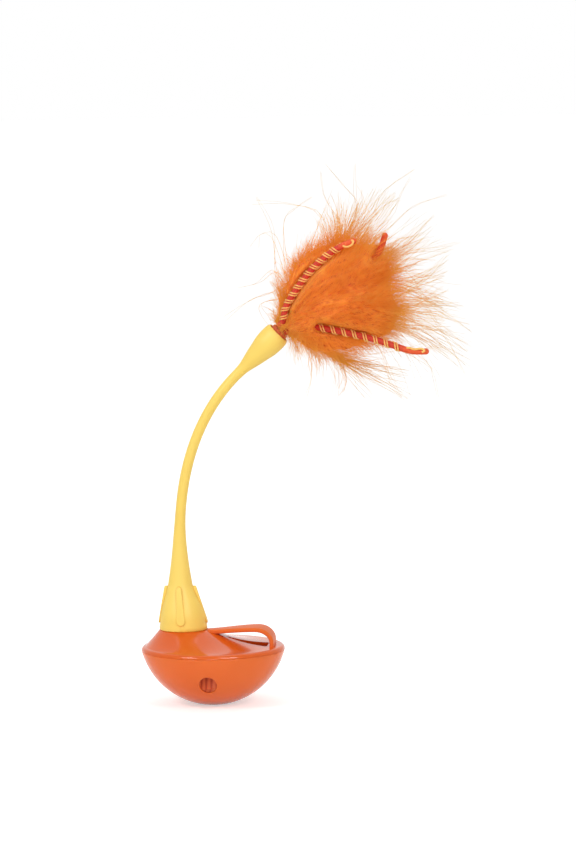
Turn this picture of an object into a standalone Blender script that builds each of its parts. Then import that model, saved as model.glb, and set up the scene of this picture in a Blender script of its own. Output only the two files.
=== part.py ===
# Wobbling cat toy: a round weighted treat base, a curved flexible wand that screws onto it,
# and a tassel of marabou plumes and three thread-wound cords at the wand's tip.
# Metres, +Z up. The origin is the middle of the flat foot under the bowl, +X runs along the strap handle.

import math

import bmesh
import bpy
from mathutils import Matrix, Vector

# Shared clearances
FIT_GAP = 0.0003
CUT_OVERRUN = 0.004

# Bowl
BOWL_RIM_RADIUS = 0.0475
BOWL_DEPTH = 0.03681
BOWL_WALL = 0.0022
FOOT_RADIUS = 0.0095
TREAT_HOLE_RADIUS = 0.00565
TREAT_HOLE_HEIGHT = 0.0178
BOSS_EDGE_INSET = 0.0061
BOSS_RADIUS = 0.0032
PILOT_DEPTH = 0.0032

# Weight and the plate over it
WEIGHT_DOME_FROM_BOSS = 0.0043
WEIGHT_DOME_TAPER = 0.003
WEIGHT_DOME_RISE = 0.0095
PLATE_THICKNESS = 0.0016
PLATE_EDGE_GAP = 0.0005
PLATE_RIB_HEIGHT = 0.0012
PLATE_RIB_COUNT = 10
PLATE_RIB_STEPS = 4
SCREW_SHANK_RADIUS = 0.001
SCREW_HEAD_RADIUS = 0.0026
SCREW_HEAD_HEIGHT = 0.0015
SCREW_CROWN_SHARE = 0.7
SCREW_COUNT = 3

# Top cover
COVER_WALL = 0.0022
RIM_ROUND = 0.0026
SKIRT_DEPTH = 0.0034
SKIRT_WALL = 0.0016
NECK_OFFSET = 0.0196
NECK_RADIUS = 0.01575
NECK_RISE = 0.0107
NECK_SIDE_CURVE = 1.05
HANDLE_SIDE_CURVE = 2.1
SPOUT_RADIUS = 0.009
SPOUT_BORE_RADIUS = 0.0072
STRAP_THICKNESS = 0.0028
STRAP_ROOT_WIDTH = 0.009
STRAP_FOOT_WIDTH = 0.0215
STRAP_CROWN_RISE = 0.0126
STRAP_FOOT_INSET = 0.0064
STRAP_BEND_RUN = 0.0105
STRAP_BEND_DROP = 0.0085
STRAP_EMBED = 0.0022
STRAP_EDGE = 0.0006
SLOT_APEX_FROM_NECK = 0.0105
SLOT_APEX_WIDTH = 0.0016
SLOT_SIDE_INSET = 0.0021
SLOT_LAND = 0.0018

# Screw joint between spout and wand
THREAD_PITCH = 0.003
THREAD_TURNS = 2.0
THREAD_DEPTH = 0.0009
THREAD_ROOT_WIDTH = 0.0015
THREAD_CREST_WIDTH = 0.0008
THREAD_ENGAGEMENT = 0.0006
THREAD_LEAD_IN = 0.0012
INSERT_WALL = 0.0015
INSERT_TOP = 0.0012
SEAL_THICKNESS = 0.0013
SEAL_WIDTH = 0.0014

# Wand
COLLAR_RADIUS = 0.0158
COLLAR_BAND_HEIGHT = 0.0032
COLLAR_BAND_STEP = 0.0004
COLLAR_LENGTH = 0.0296
COLLAR_TOP_RADIUS = 0.0082
COLLAR_SET_BACK = 0.0017
COLLAR_BOW_SHARE = 0.16
RIB_COUNT = 4
RIB_START = 0.0041
RIB_LENGTH = 0.0249
RIB_WIDTH = 0.0058
RIB_TOP_WIDTH = 0.0034
RIB_FOOT_RADIUS = 0.0165
RIB_HEAD_RADIUS = 0.0104
RIB_ROOT = 0.0036
STEM_RADIUS = 0.0034
STEM_TAPER_LENGTH = 0.0545
STEM_BEND_START = 0.0486
STEM_BEND_LENGTH = 0.130
STEM_BEND_POWER = 1.5
STEM_TIP_LEAN = math.radians(45.4)
BEND_JOINT_RISE = 0.0344
TIP_JOINT_SET_BACK = 0.0156

# Cup at the tip of the wand
CUP_LENGTH = 0.040
CUP_RADIUS = 0.00895
CUP_LIP_WALL = 0.0012
CUP_SEAT_DEPTH = 0.003
CUP_LENGTH_SHARES = (0.0, 0.10, 0.20, 0.33, 0.45, 0.55, 0.68, 0.78, 0.88, 0.95, 1.0)
CUP_RADIUS_SHARES = (0.38, 0.40, 0.455, 0.60, 0.73, 0.82, 0.95, 0.995, 1.0, 0.975, 0.905)

# Tassel
BINDING_TAPER = 0.0004
BINDING_REACH = 0.0015
CORD_CIRCLE_RADIUS = 0.0037
CORD_RADIUS = 0.00185
THREAD_RADIUS = 0.0003
THREAD_GAP = 0.00025
THREAD_PAIR_STEP = 0.0017
THREAD_START = 0.0045
CORD_UPPER_PITCH = 0.006
CORD_LOWER_PITCH = 0.0073
CORD_BACK_PITCH = 0.0073
CORD_UPPER_TIP = 0.009
CORD_LOWER_TIP = 0.016
CORD_BACK_TIP = 0.028
TASSEL_REACH = 0.1
QUILL_INSET = 0.0009
QUILL_RADIUS = 0.00055
QUILL_RISE = 0.003
QUILL_BARE_SHARE = 0.13
VANE_FULLNESS = 1.3
VANE_WIDTH = 0.038
VANE_THICKNESS = 0.0044

# Steps of the round and swept shapes
BOWL_STEPS = 40
BOWL_OUTER_ROWS = 10
BOWL_INNER_ROWS = 8
WEIGHT_ROWS = 6
SMALL_STEPS = 12
SPLINE_STEPS = 24
THREAD_STEPS = 16
WINDING_STEPS = 8
CORD_ROWS = 14
FINE_CORD_ROWS = 160
PLUME_RINGS = 13
STRAP_RISE_STEPS = 7
STRAP_BEND_STEPS = 5
RIB_END_STEPS = 6
CENTRELINE_STEPS = 200
PLUME_STEPS = 8
COLLAR_ROWS = 9
COLLAR_RESOLUTION = 8
STEM_ROWS = 6
STEM_RESOLUTION = 3
CUP_RESOLUTION = 6
CORD_RESOLUTION = 2
THREAD_RESOLUTION = 1
MOST_TURNS = 24

# Each cord: the angle of its root round the tassel axis, the rise of one turn of its threads, its plain tip,
# and its route as shares of the tassel's reach: forwards, sideways and upwards from the lip
CORD_SHARES = {
    "cord_upper": (30, CORD_UPPER_PITCH, CORD_UPPER_TIP, (
        (0.052, -0.026, 0.170), (0.112, -0.045, 0.268), (0.180, -0.060, 0.362), (0.255, -0.080, 0.445),
        (0.340, -0.095, 0.518), (0.424, -0.108, 0.572), (0.508, -0.118, 0.606),
    )),
    "cord_lower": (150, CORD_LOWER_PITCH, CORD_LOWER_TIP, (
        (0.100, -0.040, 0.030), (0.175, -0.068, 0.045), (0.264, -0.094, 0.040), (0.390, -0.100, 0.020),
        (0.523, -0.104, -0.009), (0.655, -0.106, -0.044), (0.787, -0.104, -0.088), (0.882, -0.102, -0.117),
        (0.974, -0.100, -0.120),
    )),
    "cord_back": (270, CORD_BACK_PITCH, CORD_BACK_TIP, (
        (0.120, 0.070, 0.145), (0.250, 0.105, 0.280), (0.390, 0.128, 0.385), (0.530, 0.120, 0.440),
        (0.625, 0.095, 0.478), (0.672, 0.082, 0.540), (0.702, 0.078, 0.628),
    )),
}

# Each plume: the angle and share of its root on the tassel, its middle and tip as shares of the tassel's reach,
# how its vane faces, and the share of its length where the vane ends
PLUME_SHARES = {
    "plume_crown": (352, 1.0, (0.150, 0.060, 0.420), (0.360, 0.120, 0.940), (0.25, 1.0, 0.1), 0.80),
    "plume_upper": (0, 0.0, (0.430, -0.010, 0.400), (1.000, -0.040, 0.800), (0.0, 1.0, 0.0), 0.86),
    "plume_right": (185, 1.0, (0.480, 0.080, 0.160), (1.140, 0.140, 0.160), (0.0, 1.0, 0.15), 0.86),
    "plume_under": (212, 1.0, (0.340, 0.120, -0.160), (0.840, 0.160, -0.460), (0.2, 1.0, 0.2), 0.72),
    "plume_back": (239, 1.0, (0.320, 0.250, 0.040), (0.600, 0.500, 0.000), (0.6, -0.7, 0.3), 0.88),
    "plume_left": (318, 1.0, (0.080, 0.180, 0.300), (0.100, 0.400, 0.620), (0.7, 0.5, -0.3), 0.80),
    "plume_front": (90, 1.0, (0.300, -0.240, 0.220), (0.640, -0.480, 0.280), (0.5, 0.8, 0.2), 0.88),
}

# Places worked out from the driving sizes
BOWL_SPHERE_RADIUS = (BOWL_RIM_RADIUS ** 2 + BOWL_DEPTH ** 2) / (2 * BOWL_DEPTH)
SPHERE_Z = math.sqrt(BOWL_SPHERE_RADIUS ** 2 - FOOT_RADIUS ** 2)
RIM_Z = SPHERE_Z - BOWL_SPHERE_RADIUS + BOWL_DEPTH
BOWL_INNER_RADIUS = BOWL_SPHERE_RADIUS - BOWL_WALL
PLATE_TOP_Z = TREAT_HOLE_HEIGHT - TREAT_HOLE_RADIUS - FIT_GAP
PLATE_FOOT_Z = PLATE_TOP_Z - PLATE_THICKNESS
BOSS_TOP_Z = PLATE_FOOT_Z - FIT_GAP
BOSS_CIRCLE_RADIUS = math.sqrt(BOWL_INNER_RADIUS ** 2 - (SPHERE_Z - PLATE_FOOT_Z) ** 2) - BOSS_EDGE_INSET
WEIGHT_DOME_RADIUS = BOSS_CIRCLE_RADIUS - BOSS_RADIUS - WEIGHT_DOME_FROM_BOSS
COVER_FOOT_Z = RIM_Z + FIT_GAP
DECK_EDGE_RADIUS = BOWL_RIM_RADIUS - RIM_ROUND
DECK_EDGE_Z = COVER_FOOT_Z + RIM_ROUND
NECK_TOP_Z = DECK_EDGE_Z + NECK_RISE
NECK_CENTRE = Vector((-NECK_OFFSET, 0, 0))
SPOUT_TOP_Z = NECK_TOP_Z + THREAD_LEAD_IN + THREAD_PITCH * THREAD_TURNS + THREAD_ROOT_WIDTH
WAND_FOOT_Z = NECK_TOP_Z + FIT_GAP
SEAL_FOOT_Z = SPOUT_TOP_Z + FIT_GAP
INSERT_ROOT_RADIUS = SPOUT_RADIUS + THREAD_DEPTH + FIT_GAP
INSERT_CREST_RADIUS = SPOUT_RADIUS + THREAD_DEPTH - THREAD_ENGAGEMENT
INSERT_OUTER_RADIUS = INSERT_ROOT_RADIUS + INSERT_WALL
INSERT_CEILING_Z = SEAL_FOOT_Z + SEAL_THICKNESS + FIT_GAP
INSERT_TOP_Z = INSERT_CEILING_Z + INSERT_TOP
CUP_MOUTH_RADIUS = CUP_RADIUS * CUP_RADIUS_SHARES[-1] - CUP_LIP_WALL
SEAT_RADIUS = CUP_MOUTH_RADIUS - FIT_GAP
BINDING_RADIUS = SEAT_RADIUS - FIT_GAP
QUILL_CIRCLE_RADIUS = BINDING_RADIUS - BINDING_TAPER - QUILL_INSET
BEND_JOINT_PLACE = COLLAR_LENGTH + BEND_JOINT_RISE
CUP_START = STEM_BEND_START + STEM_BEND_LENGTH
TIP_JOINT_PLACE = CUP_START - TIP_JOINT_SET_BACK
SWAY_JOINT_PLACE = (BEND_JOINT_PLACE + TIP_JOINT_PLACE) / 2
HELIX_RADIUS = CORD_RADIUS + THREAD_GAP + THREAD_RADIUS


def clear_scene():
    for old in list(bpy.data.objects):
        bpy.data.objects.remove(old, do_unlink=True)


def material(name, colour, roughness, metallic=0.0):
    made = bpy.data.materials.new(name)
    made.use_nodes = True
    shader = made.node_tree.nodes["Principled BSDF"]
    shader.inputs["Base Color"].default_value = (*colour, 1.0)
    shader.inputs["Roughness"].default_value = roughness
    shader.inputs["Metallic"].default_value = metallic
    return made


def link(name, data, surface):
    made = bpy.data.objects.new(name, data)
    data.materials.append(surface)
    bpy.context.scene.collection.objects.link(made)
    return made


def finish_mesh(name, mesh_builder, surface, smooth_degrees=35):
    bmesh.ops.recalc_face_normals(mesh_builder, faces=mesh_builder.faces[:])
    data = bpy.data.meshes.new(name)
    mesh_builder.to_mesh(data)
    mesh_builder.free()
    data.shade_smooth()
    data.set_sharp_from_angle(angle=math.radians(smooth_degrees))
    return link(name, data, surface)


# A solid turned round Z from an outline of (radius, height) points, open from axis to axis, or closed.
def turned(name, outline, surface, steps, closed=False):
    shape = bmesh.new()
    verts = [shape.verts.new((radius, 0, height)) for radius, height in outline]
    edges = [shape.edges.new(pair) for pair in zip(verts, verts[1:])]
    if closed:
        edges.append(shape.edges.new((verts[-1], verts[0])))
    bmesh.ops.spin(
        shape, geom=verts + edges, cent=(0, 0, 0), axis=(0, 0, 1), angle=math.tau, steps=steps, use_merge=True
    )
    bmesh.ops.remove_doubles(shape, verts=shape.verts[:], dist=FIT_GAP / SMALL_STEPS)
    return finish_mesh(name, shape, surface)


# A skin over rings of equally many points. Its ends are filled, or the last ring meets the first again.
def skinned(name, rings, surface, round_again=False):
    shape = bmesh.new()
    loops = [[shape.verts.new(point) for point in ring] for ring in rings]
    pairs = list(zip(loops, loops[1:]))
    if round_again:
        pairs.append((loops[-1], loops[0]))
    else:
        shape.faces.new(loops[0])
        shape.faces.new(loops[-1])
    for near, far in pairs:
        for i in range(len(near)):
            j = (i + 1) % len(near)
            shape.faces.new((near[i], near[j], far[j], far[i]))
    return finish_mesh(name, shape, surface)


# A tube along points, with a radius at each, made by a bevelled curve with filled ends.
def tube(name, points, radii, surface, resolution):
    curve = bpy.data.curves.new(name, "CURVE")
    curve.dimensions = "3D"
    curve.bevel_depth = 1.0
    curve.bevel_resolution = resolution
    curve.use_fill_caps = True
    spline = curve.splines.new("POLY")
    spline.points.add(len(points) - 1)
    for knot, place, radius in zip(spline.points, points, radii):
        knot.co = (*place, 1.0)
        knot.radius = radius
    return link(name, curve, surface)


# The same tube as a mesh, which a Boolean can work on.
def tube_mesh(name, points, radii, surface, resolution):
    curved = tube(name + "_path", points, radii, surface, resolution)
    bpy.context.view_layer.update()
    graph = bpy.context.evaluated_depsgraph_get()
    data = bpy.data.meshes.new_from_object(curved.evaluated_get(graph))
    bpy.data.objects.remove(curved, do_unlink=True)
    shape = bmesh.new()
    shape.from_mesh(data)
    bmesh.ops.remove_doubles(shape, verts=shape.verts[:], dist=FIT_GAP / SMALL_STEPS)
    bpy.data.meshes.remove(data)
    return finish_mesh(name, shape, surface)


def hide_cutter(cutter):
    cutter.hide_render = True
    cutter.display_type = "WIRE"
    return cutter


def boolean(target, other, operation):
    hide_cutter(other)
    step = target.modifiers.new(other.name, "BOOLEAN")
    step.operation = operation
    step.solver = "EXACT"
    step.object = other


def joined(name, pieces, surface):
    shape = bmesh.new()
    for piece in pieces:
        moved = piece.data.copy()
        moved.transform(piece.matrix_basis)
        shape.from_mesh(moved)
        bpy.data.meshes.remove(moved)
        bpy.data.objects.remove(piece, do_unlink=True)
    return finish_mesh(name, shape, surface)


def circle_places(count, radius, first_degrees=90):
    angles = [math.radians(first_degrees) + math.tau * i / count for i in range(count)]
    return [Vector((radius * math.cos(angle), radius * math.sin(angle), 0)) for angle in angles]


def cylinder(name, radius, low, high, surface, steps=SMALL_STEPS):
    outline = ((0, low), (radius, low), (radius, high), (0, high))
    return turned(name, outline, surface, steps)


def arc(radius, first, last, steps, centre=(0, 0)):
    angles = [first + (last - first) * i / steps for i in range(steps + 1)]
    return [(centre[0] + radius * math.sin(angle), centre[1] - radius * math.cos(angle)) for angle in angles]


# The bowl: a spherical shell with a small flat foot, screw bosses for the weight and two treat holes.
def build_bowl(orange):
    foot_angle = math.asin(FOOT_RADIUS / BOWL_SPHERE_RADIUS)
    rim_angle = math.acos(1 - BOWL_DEPTH / BOWL_SPHERE_RADIUS)
    inner_rim_angle = math.acos((SPHERE_Z - RIM_Z) / BOWL_INNER_RADIUS)
    outside = arc(BOWL_SPHERE_RADIUS, foot_angle, rim_angle, BOWL_OUTER_ROWS, (0, SPHERE_Z))
    inside = arc(BOWL_INNER_RADIUS, inner_rim_angle, 0, BOWL_INNER_ROWS, (0, SPHERE_Z))
    bowl = turned("bowl_shell", [(0, 0)] + outside + inside, orange, BOWL_STEPS)
    bosses = []
    pilots = []
    for place in circle_places(SCREW_COUNT, BOSS_CIRCLE_RADIUS):
        boss = build_boss(place, orange)
        pilot = cylinder("pilot", pilot_radius(), BOSS_TOP_Z - PILOT_DEPTH, BOSS_TOP_Z + CUT_OVERRUN, orange)
        pilot.location = place
        bosses.append(boss)
        pilots.append(pilot)
    bpy.context.view_layer.update()
    boolean(bowl, joined("bowl_bosses", bosses, orange), "UNION")
    boolean(bowl, joined("bowl_pilots", pilots, orange), "DIFFERENCE")
    reach = BOWL_SPHERE_RADIUS + CUT_OVERRUN
    hole = cylinder("treat_holes", TREAT_HOLE_RADIUS, -reach, reach, orange, SMALL_STEPS * 2)
    hole.rotation_euler = (math.pi / 2, 0, 0)
    hole.location = (0, 0, TREAT_HOLE_HEIGHT)
    boolean(bowl, hole, "DIFFERENCE")
    return bowl


# A screw boss that stands up from the middle of the bowl's sloping wall.
def build_boss(place, orange):
    middle = BOWL_SPHERE_RADIUS - BOWL_WALL / 2
    foot = []
    for spoke in circle_places(SMALL_STEPS, BOSS_RADIUS):
        edge = place + spoke
        edge.z = SPHERE_Z - math.sqrt(middle ** 2 - edge.x ** 2 - edge.y ** 2)
        foot.append(edge)
    top = [Vector((edge.x, edge.y, BOSS_TOP_Z)) for edge in foot]
    return skinned("boss", [foot, top], orange)


def pilot_radius():
    return SCREW_SHANK_RADIUS + FIT_GAP


# The weight that rights the toy: an iron cap lying in the bowl, with a dome that turns treats outwards.
def build_weight(iron):
    under_radius = BOWL_INNER_RADIUS - FIT_GAP
    top = PLATE_FOOT_Z - FIT_GAP
    edge_angle = math.acos((SPHERE_Z - top) / under_radius)
    outline = arc(under_radius, 0, edge_angle, WEIGHT_ROWS, (0, SPHERE_Z))
    dome_top_radius = WEIGHT_DOME_RADIUS - WEIGHT_DOME_TAPER
    dome_top = top + WEIGHT_DOME_RISE
    outline += [(WEIGHT_DOME_RADIUS, top), (dome_top_radius, dome_top), (0, dome_top)]
    weight = turned("ballast_weight", outline, iron, BOWL_STEPS)
    holes = []
    for place in circle_places(SCREW_COUNT, BOSS_CIRCLE_RADIUS):
        hole = cylinder("hole", BOSS_RADIUS + FIT_GAP, 0, top + CUT_OVERRUN, iron)
        hole.location = place
        holes.append(hole)
    bpy.context.view_layer.update()
    boolean(weight, joined("weight_holes", holes, iron), "DIFFERENCE")
    return weight


# The plate over the weight: the floor of the treat chamber, with a ribbed dome in the middle.
def build_plate(orange):
    steps = PLATE_RIB_COUNT * PLATE_RIB_STEPS

    def ring(radius, height, rib=0):
        points = []
        for i in range(steps):
            angle = math.tau * i / steps
            wide = radius + (rib if i % PLATE_RIB_STEPS < PLATE_RIB_STEPS / 2 else 0)
            points.append((wide * math.cos(angle), wide * math.sin(angle), height))
        return points

    def bowl_radius(height):
        return math.sqrt(BOWL_INNER_RADIUS ** 2 - (SPHERE_Z - height) ** 2) - PLATE_EDGE_GAP

    dome_in_top_z = PLATE_FOOT_Z - FIT_GAP + WEIGHT_DOME_RISE + FIT_GAP
    dome_in_foot = WEIGHT_DOME_RADIUS + FIT_GAP
    dome_in_top = dome_in_foot - WEIGHT_DOME_TAPER
    dome_out_foot = dome_in_foot + PLATE_THICKNESS
    dome_out_top = dome_in_top + PLATE_THICKNESS
    rings = [
        ring(dome_in_top, dome_in_top_z),
        ring(dome_in_foot, PLATE_FOOT_Z),
        ring(bowl_radius(PLATE_FOOT_Z), PLATE_FOOT_Z),
        ring(bowl_radius(PLATE_TOP_Z), PLATE_TOP_Z),
        ring(dome_out_foot, PLATE_TOP_Z, PLATE_RIB_HEIGHT),
        ring(dome_out_top, dome_in_top_z + PLATE_THICKNESS / 2, PLATE_RIB_HEIGHT),
        ring(dome_out_top - PLATE_THICKNESS / 2, dome_in_top_z + PLATE_THICKNESS, PLATE_RIB_HEIGHT / 2),
    ]
    plate = skinned("ballast_plate", rings, orange)
    holes = []
    for place in circle_places(SCREW_COUNT, BOSS_CIRCLE_RADIUS):
        hole = cylinder("hole", pilot_radius(), PLATE_FOOT_Z - CUT_OVERRUN, PLATE_TOP_Z + CUT_OVERRUN, orange)
        hole.location = place
        holes.append(hole)
    bpy.context.view_layer.update()
    boolean(plate, joined("plate_holes", holes, orange), "DIFFERENCE")
    return plate


def build_screws(steel):
    head_foot = PLATE_TOP_Z + FIT_GAP
    tip = BOSS_TOP_Z - PILOT_DEPTH + FIT_GAP
    outline = (
        (0, tip),
        (SCREW_SHANK_RADIUS / 2, tip),
        (SCREW_SHANK_RADIUS, tip + SCREW_SHANK_RADIUS),
        (SCREW_SHANK_RADIUS, head_foot),
        (SCREW_HEAD_RADIUS, head_foot),
        (SCREW_HEAD_RADIUS, head_foot + SCREW_HEAD_HEIGHT / 2),
        (SCREW_HEAD_RADIUS * SCREW_CROWN_SHARE, head_foot + SCREW_HEAD_HEIGHT),
        (0, head_foot + SCREW_HEAD_HEIGHT),
    )
    for number, place in enumerate(circle_places(SCREW_COUNT, BOSS_CIRCLE_RADIUS), 1):
        screw = turned(f"ballast_screw_{number}", outline, steel, SMALL_STEPS)
        screw.location = place


# A point of the cover between the neck circle and the rim circle, at a share of the way and an angle round it.
def deck_point(share, angle, neck_radius, rim_radius, neck_z, rim_z):
    neck = NECK_CENTRE + neck_radius * Vector((math.cos(angle), math.sin(angle), 0))
    rim = rim_radius * Vector((math.cos(angle), math.sin(angle), 0))
    towards_handle = (1 + math.cos(angle)) / 2
    power = NECK_SIDE_CURVE + (HANDLE_SIDE_CURVE - NECK_SIDE_CURVE) * towards_handle
    place = neck.lerp(rim, share)
    place.z = rim_z + (neck_z - rim_z) * (1 - share) ** power
    return place


# The top cover: a deck that sweeps up to an off-centre neck, the spout inside it, a skirt and a strap handle.
def build_cover(orange):
    angles = [math.tau * i / BOWL_STEPS for i in range(BOWL_STEPS)]

    def ring(radius, height, centre=Vector((0, 0, 0))):
        return [centre + Vector((radius * math.cos(a), radius * math.sin(a), height)) for a in angles]

    def deck(share, neck_radius, rim_radius, neck_z, rim_z):
        return [deck_point(share, a, neck_radius, rim_radius, neck_z, rim_z) for a in angles]

    top_sizes = (NECK_RADIUS, DECK_EDGE_RADIUS, NECK_TOP_Z, DECK_EDGE_Z)
    skirt_foot_z = COVER_FOOT_Z - SKIRT_DEPTH
    skirt_radius = math.sqrt(BOWL_INNER_RADIUS ** 2 - (SPHERE_Z - skirt_foot_z) ** 2) - FIT_GAP
    under_z = DECK_EDGE_Z - COVER_WALL
    under_sizes = (NECK_RADIUS - COVER_WALL, skirt_radius - SKIRT_WALL, NECK_TOP_Z - COVER_WALL, under_z)
    top_shares = (0.06, 0.14, 0.24, 0.36, 0.5, 0.68, 0.86)
    under_shares = (1.0, 0.7, 0.44, 0.2, 0.0)
    rings = [
        ring(SPOUT_BORE_RADIUS, SPOUT_TOP_Z, NECK_CENTRE),
        ring(SPOUT_RADIUS, SPOUT_TOP_Z, NECK_CENTRE),
        ring(SPOUT_RADIUS, NECK_TOP_Z, NECK_CENTRE),
        ring(NECK_RADIUS, NECK_TOP_Z, NECK_CENTRE),
    ]
    rings += [deck(share, *top_sizes) for share in top_shares]
    rim_arc = arc(RIM_ROUND, math.pi, math.pi / 2, 3, (DECK_EDGE_RADIUS, COVER_FOOT_Z))
    rings += [ring(radius, height) for radius, height in rim_arc]
    rings += [
        ring(skirt_radius, COVER_FOOT_Z),
        ring(skirt_radius, skirt_foot_z),
        ring(skirt_radius - SKIRT_WALL, skirt_foot_z),
    ]
    rings += [deck(share, *under_sizes) for share in under_shares]
    rings.append(ring(SPOUT_BORE_RADIUS, NECK_TOP_Z - COVER_WALL, NECK_CENTRE))
    cover = skinned("top_cover", rings, orange, round_again=True)
    boolean(cover, build_slot_cutter(orange), "DIFFERENCE")
    boolean(cover, build_strap(orange), "UNION")
    spout_thread = thread_ridge("spout_thread", SPOUT_RADIUS, 1, NECK_TOP_Z + THREAD_LEAD_IN, 0, orange)
    boolean(cover, spout_thread, "UNION")
    return cover


def strap_foot_x():
    return BOWL_RIM_RADIUS - STRAP_FOOT_INSET - STRAP_THICKNESS / 2


# The strap's middle line in the XZ plane, from inside the neck's edge over the crown to the deck near the rim.
def strap_line():
    root = Vector((NECK_RADIUS - NECK_OFFSET - STRAP_EMBED, NECK_TOP_Z - (STRAP_THICKNESS + FIT_GAP) / 2))
    crown = Vector((strap_foot_x() - STRAP_BEND_RUN, DECK_EDGE_Z + STRAP_CROWN_RISE - STRAP_THICKNESS / 2))
    line = []
    for i in range(STRAP_RISE_STEPS):
        share = i / STRAP_RISE_STEPS
        ease = share * share * (3 - 2 * share)
        line.append(Vector((root.x + (crown.x - root.x) * share, root.y + (crown.y - root.y) * ease)))
    for i in range(STRAP_BEND_STEPS + 1):
        angle = math.pi / 2 * i / STRAP_BEND_STEPS
        drop = STRAP_BEND_DROP * (1 - math.cos(angle))
        line.append(Vector((crown.x + STRAP_BEND_RUN * math.sin(angle), crown.y - drop)))
    line.append(Vector((strap_foot_x(), DECK_EDGE_Z - COVER_WALL / 2)))
    return line


def strap_half_width(x):
    line_start = NECK_RADIUS - NECK_OFFSET
    share = min(1, max(0, (x - line_start) / (strap_foot_x() - STRAP_BEND_RUN / 2 - line_start)))
    return (STRAP_ROOT_WIDTH + (STRAP_FOOT_WIDTH - STRAP_ROOT_WIDTH) * share) / 2


def build_strap(orange):
    line = strap_line()
    rings = []
    for i, place in enumerate(line):
        ahead = line[min(i + 1, len(line) - 1)] - line[max(i - 1, 0)]
        along = ahead.normalized()
        up = Vector((-along.y, along.x))
        side = strap_half_width(place.x)
        half = STRAP_THICKNESS / 2
        inner_side = side - STRAP_EDGE
        inner_half = half - STRAP_EDGE
        section = (
            (side, inner_half), (inner_side, half), (-inner_side, half), (-side, inner_half),
            (-side, -inner_half), (-inner_side, -half), (inner_side, -half), (side, -inner_half),
        )
        rings.append([(place.x + up.x * rise, across, place.y + up.y * rise) for across, rise in section])
    return skinned("strap", rings, orange)


# The opening in the deck right under the strap, of the strap's own outline.
def build_slot_cutter(orange):
    start = NECK_RADIUS - NECK_OFFSET + SLOT_APEX_FROM_NECK
    end = strap_foot_x() - STRAP_THICKNESS / 2 - SLOT_LAND
    half_end = strap_half_width(end) - SLOT_SIDE_INSET
    half_start = SLOT_APEX_WIDTH / 2
    corner = SLOT_LAND
    outline = (
        (start, -half_start), (end - corner, -half_end), (end, corner - half_end),
        (end, half_end - corner), (end - corner, half_end), (start, half_start),
    )
    low = COVER_FOOT_Z - SKIRT_DEPTH
    high = NECK_TOP_Z
    rings = [[(x, y, z) for x, y in outline] for z in (low, high)]
    return skinned("slot_cutter", rings, orange)


# A helical ridge: outwards on the spout (direction 1), inwards in the wand's insert (direction -1).
def thread_ridge(name, wall_radius, direction, start_z, start_turn, surface):
    count = round(THREAD_TURNS * THREAD_STEPS)
    root = wall_radius - direction * FIT_GAP
    crest = wall_radius + direction * THREAD_DEPTH
    rings = []
    for i in range(count + 1):
        turn = i / THREAD_STEPS
        angle = math.tau * (turn + start_turn)
        middle = start_z + THREAD_PITCH * turn + THREAD_ROOT_WIDTH / 2
        rings.append([
            NECK_CENTRE + Vector((radius * math.cos(angle), radius * math.sin(angle), middle + offset))
            for radius, offset in (
                (root, -THREAD_ROOT_WIDTH / 2), (crest, -THREAD_CREST_WIDTH / 2),
                (crest, THREAD_CREST_WIDTH / 2), (root, THREAD_ROOT_WIDTH / 2),
            )
        ])
    return skinned(name, rings, surface)


# The stiff threaded insert inside the soft collar.
def build_insert(surface):
    foot = WAND_FOOT_Z + FIT_GAP
    outline = (
        (0, INSERT_CEILING_Z), (INSERT_ROOT_RADIUS, INSERT_CEILING_Z), (INSERT_ROOT_RADIUS, foot),
        (INSERT_OUTER_RADIUS, foot), (INSERT_OUTER_RADIUS, INSERT_TOP_Z), (0, INSERT_TOP_Z),
    )
    insert = turned("collar_insert", outline, surface, BOWL_STEPS)
    insert.location = NECK_CENTRE
    start = NECK_TOP_Z + THREAD_LEAD_IN + THREAD_PITCH / 2
    ridge = thread_ridge("insert_thread", INSERT_ROOT_RADIUS, -1, start, 0, surface)
    boolean(insert, ridge, "UNION")
    return insert


def build_seal(rubber):
    outer = SPOUT_RADIUS - FIT_GAP
    inner = outer - SEAL_WIDTH
    top = SEAL_FOOT_Z + SEAL_THICKNESS
    outline = ((inner, SEAL_FOOT_Z), (outer, SEAL_FOOT_Z), (outer, top), (inner, top))
    seal = turned("neck_seal", outline, rubber, SMALL_STEPS * 2, closed=True)
    seal.location = NECK_CENTRE
    return seal


# How far the wand leans from upright, towards the handle, at a distance along it.
def wand_lean(distance):
    if distance < COLLAR_LENGTH:
        peak = math.pi * COLLAR_SET_BACK / (2 * COLLAR_LENGTH)
        return -peak * math.sin(math.pi * distance / COLLAR_LENGTH)
    bend = (distance - STEM_BEND_START) / STEM_BEND_LENGTH
    return STEM_TIP_LEAN * min(1, max(0, bend)) ** STEM_BEND_POWER


def wand_point(distance):
    place = Vector((-NECK_OFFSET, 0, WAND_FOOT_Z))
    stretch = distance / CENTRELINE_STEPS
    for i in range(CENTRELINE_STEPS):
        lean = wand_lean((i + 1 / 2) * stretch)
        place += stretch * Vector((math.sin(lean), 0, math.cos(lean)))
    return place


def wand_along(distance):
    lean = wand_lean(distance)
    return Vector((math.sin(lean), 0, math.cos(lean)))


LIP_PLACE = CUP_START + CUP_LENGTH
LIP = wand_point(LIP_PLACE)
TASSEL_AXIS = wand_along(LIP_PLACE)
TASSEL_UP = Vector((-TASSEL_AXIS.z, 0, TASSEL_AXIS.x))
TASSEL_FRONT = Vector((0, -1, 0))
TASSEL_PIVOT = LIP - CUP_SEAT_DEPTH * TASSEL_AXIS


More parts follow.
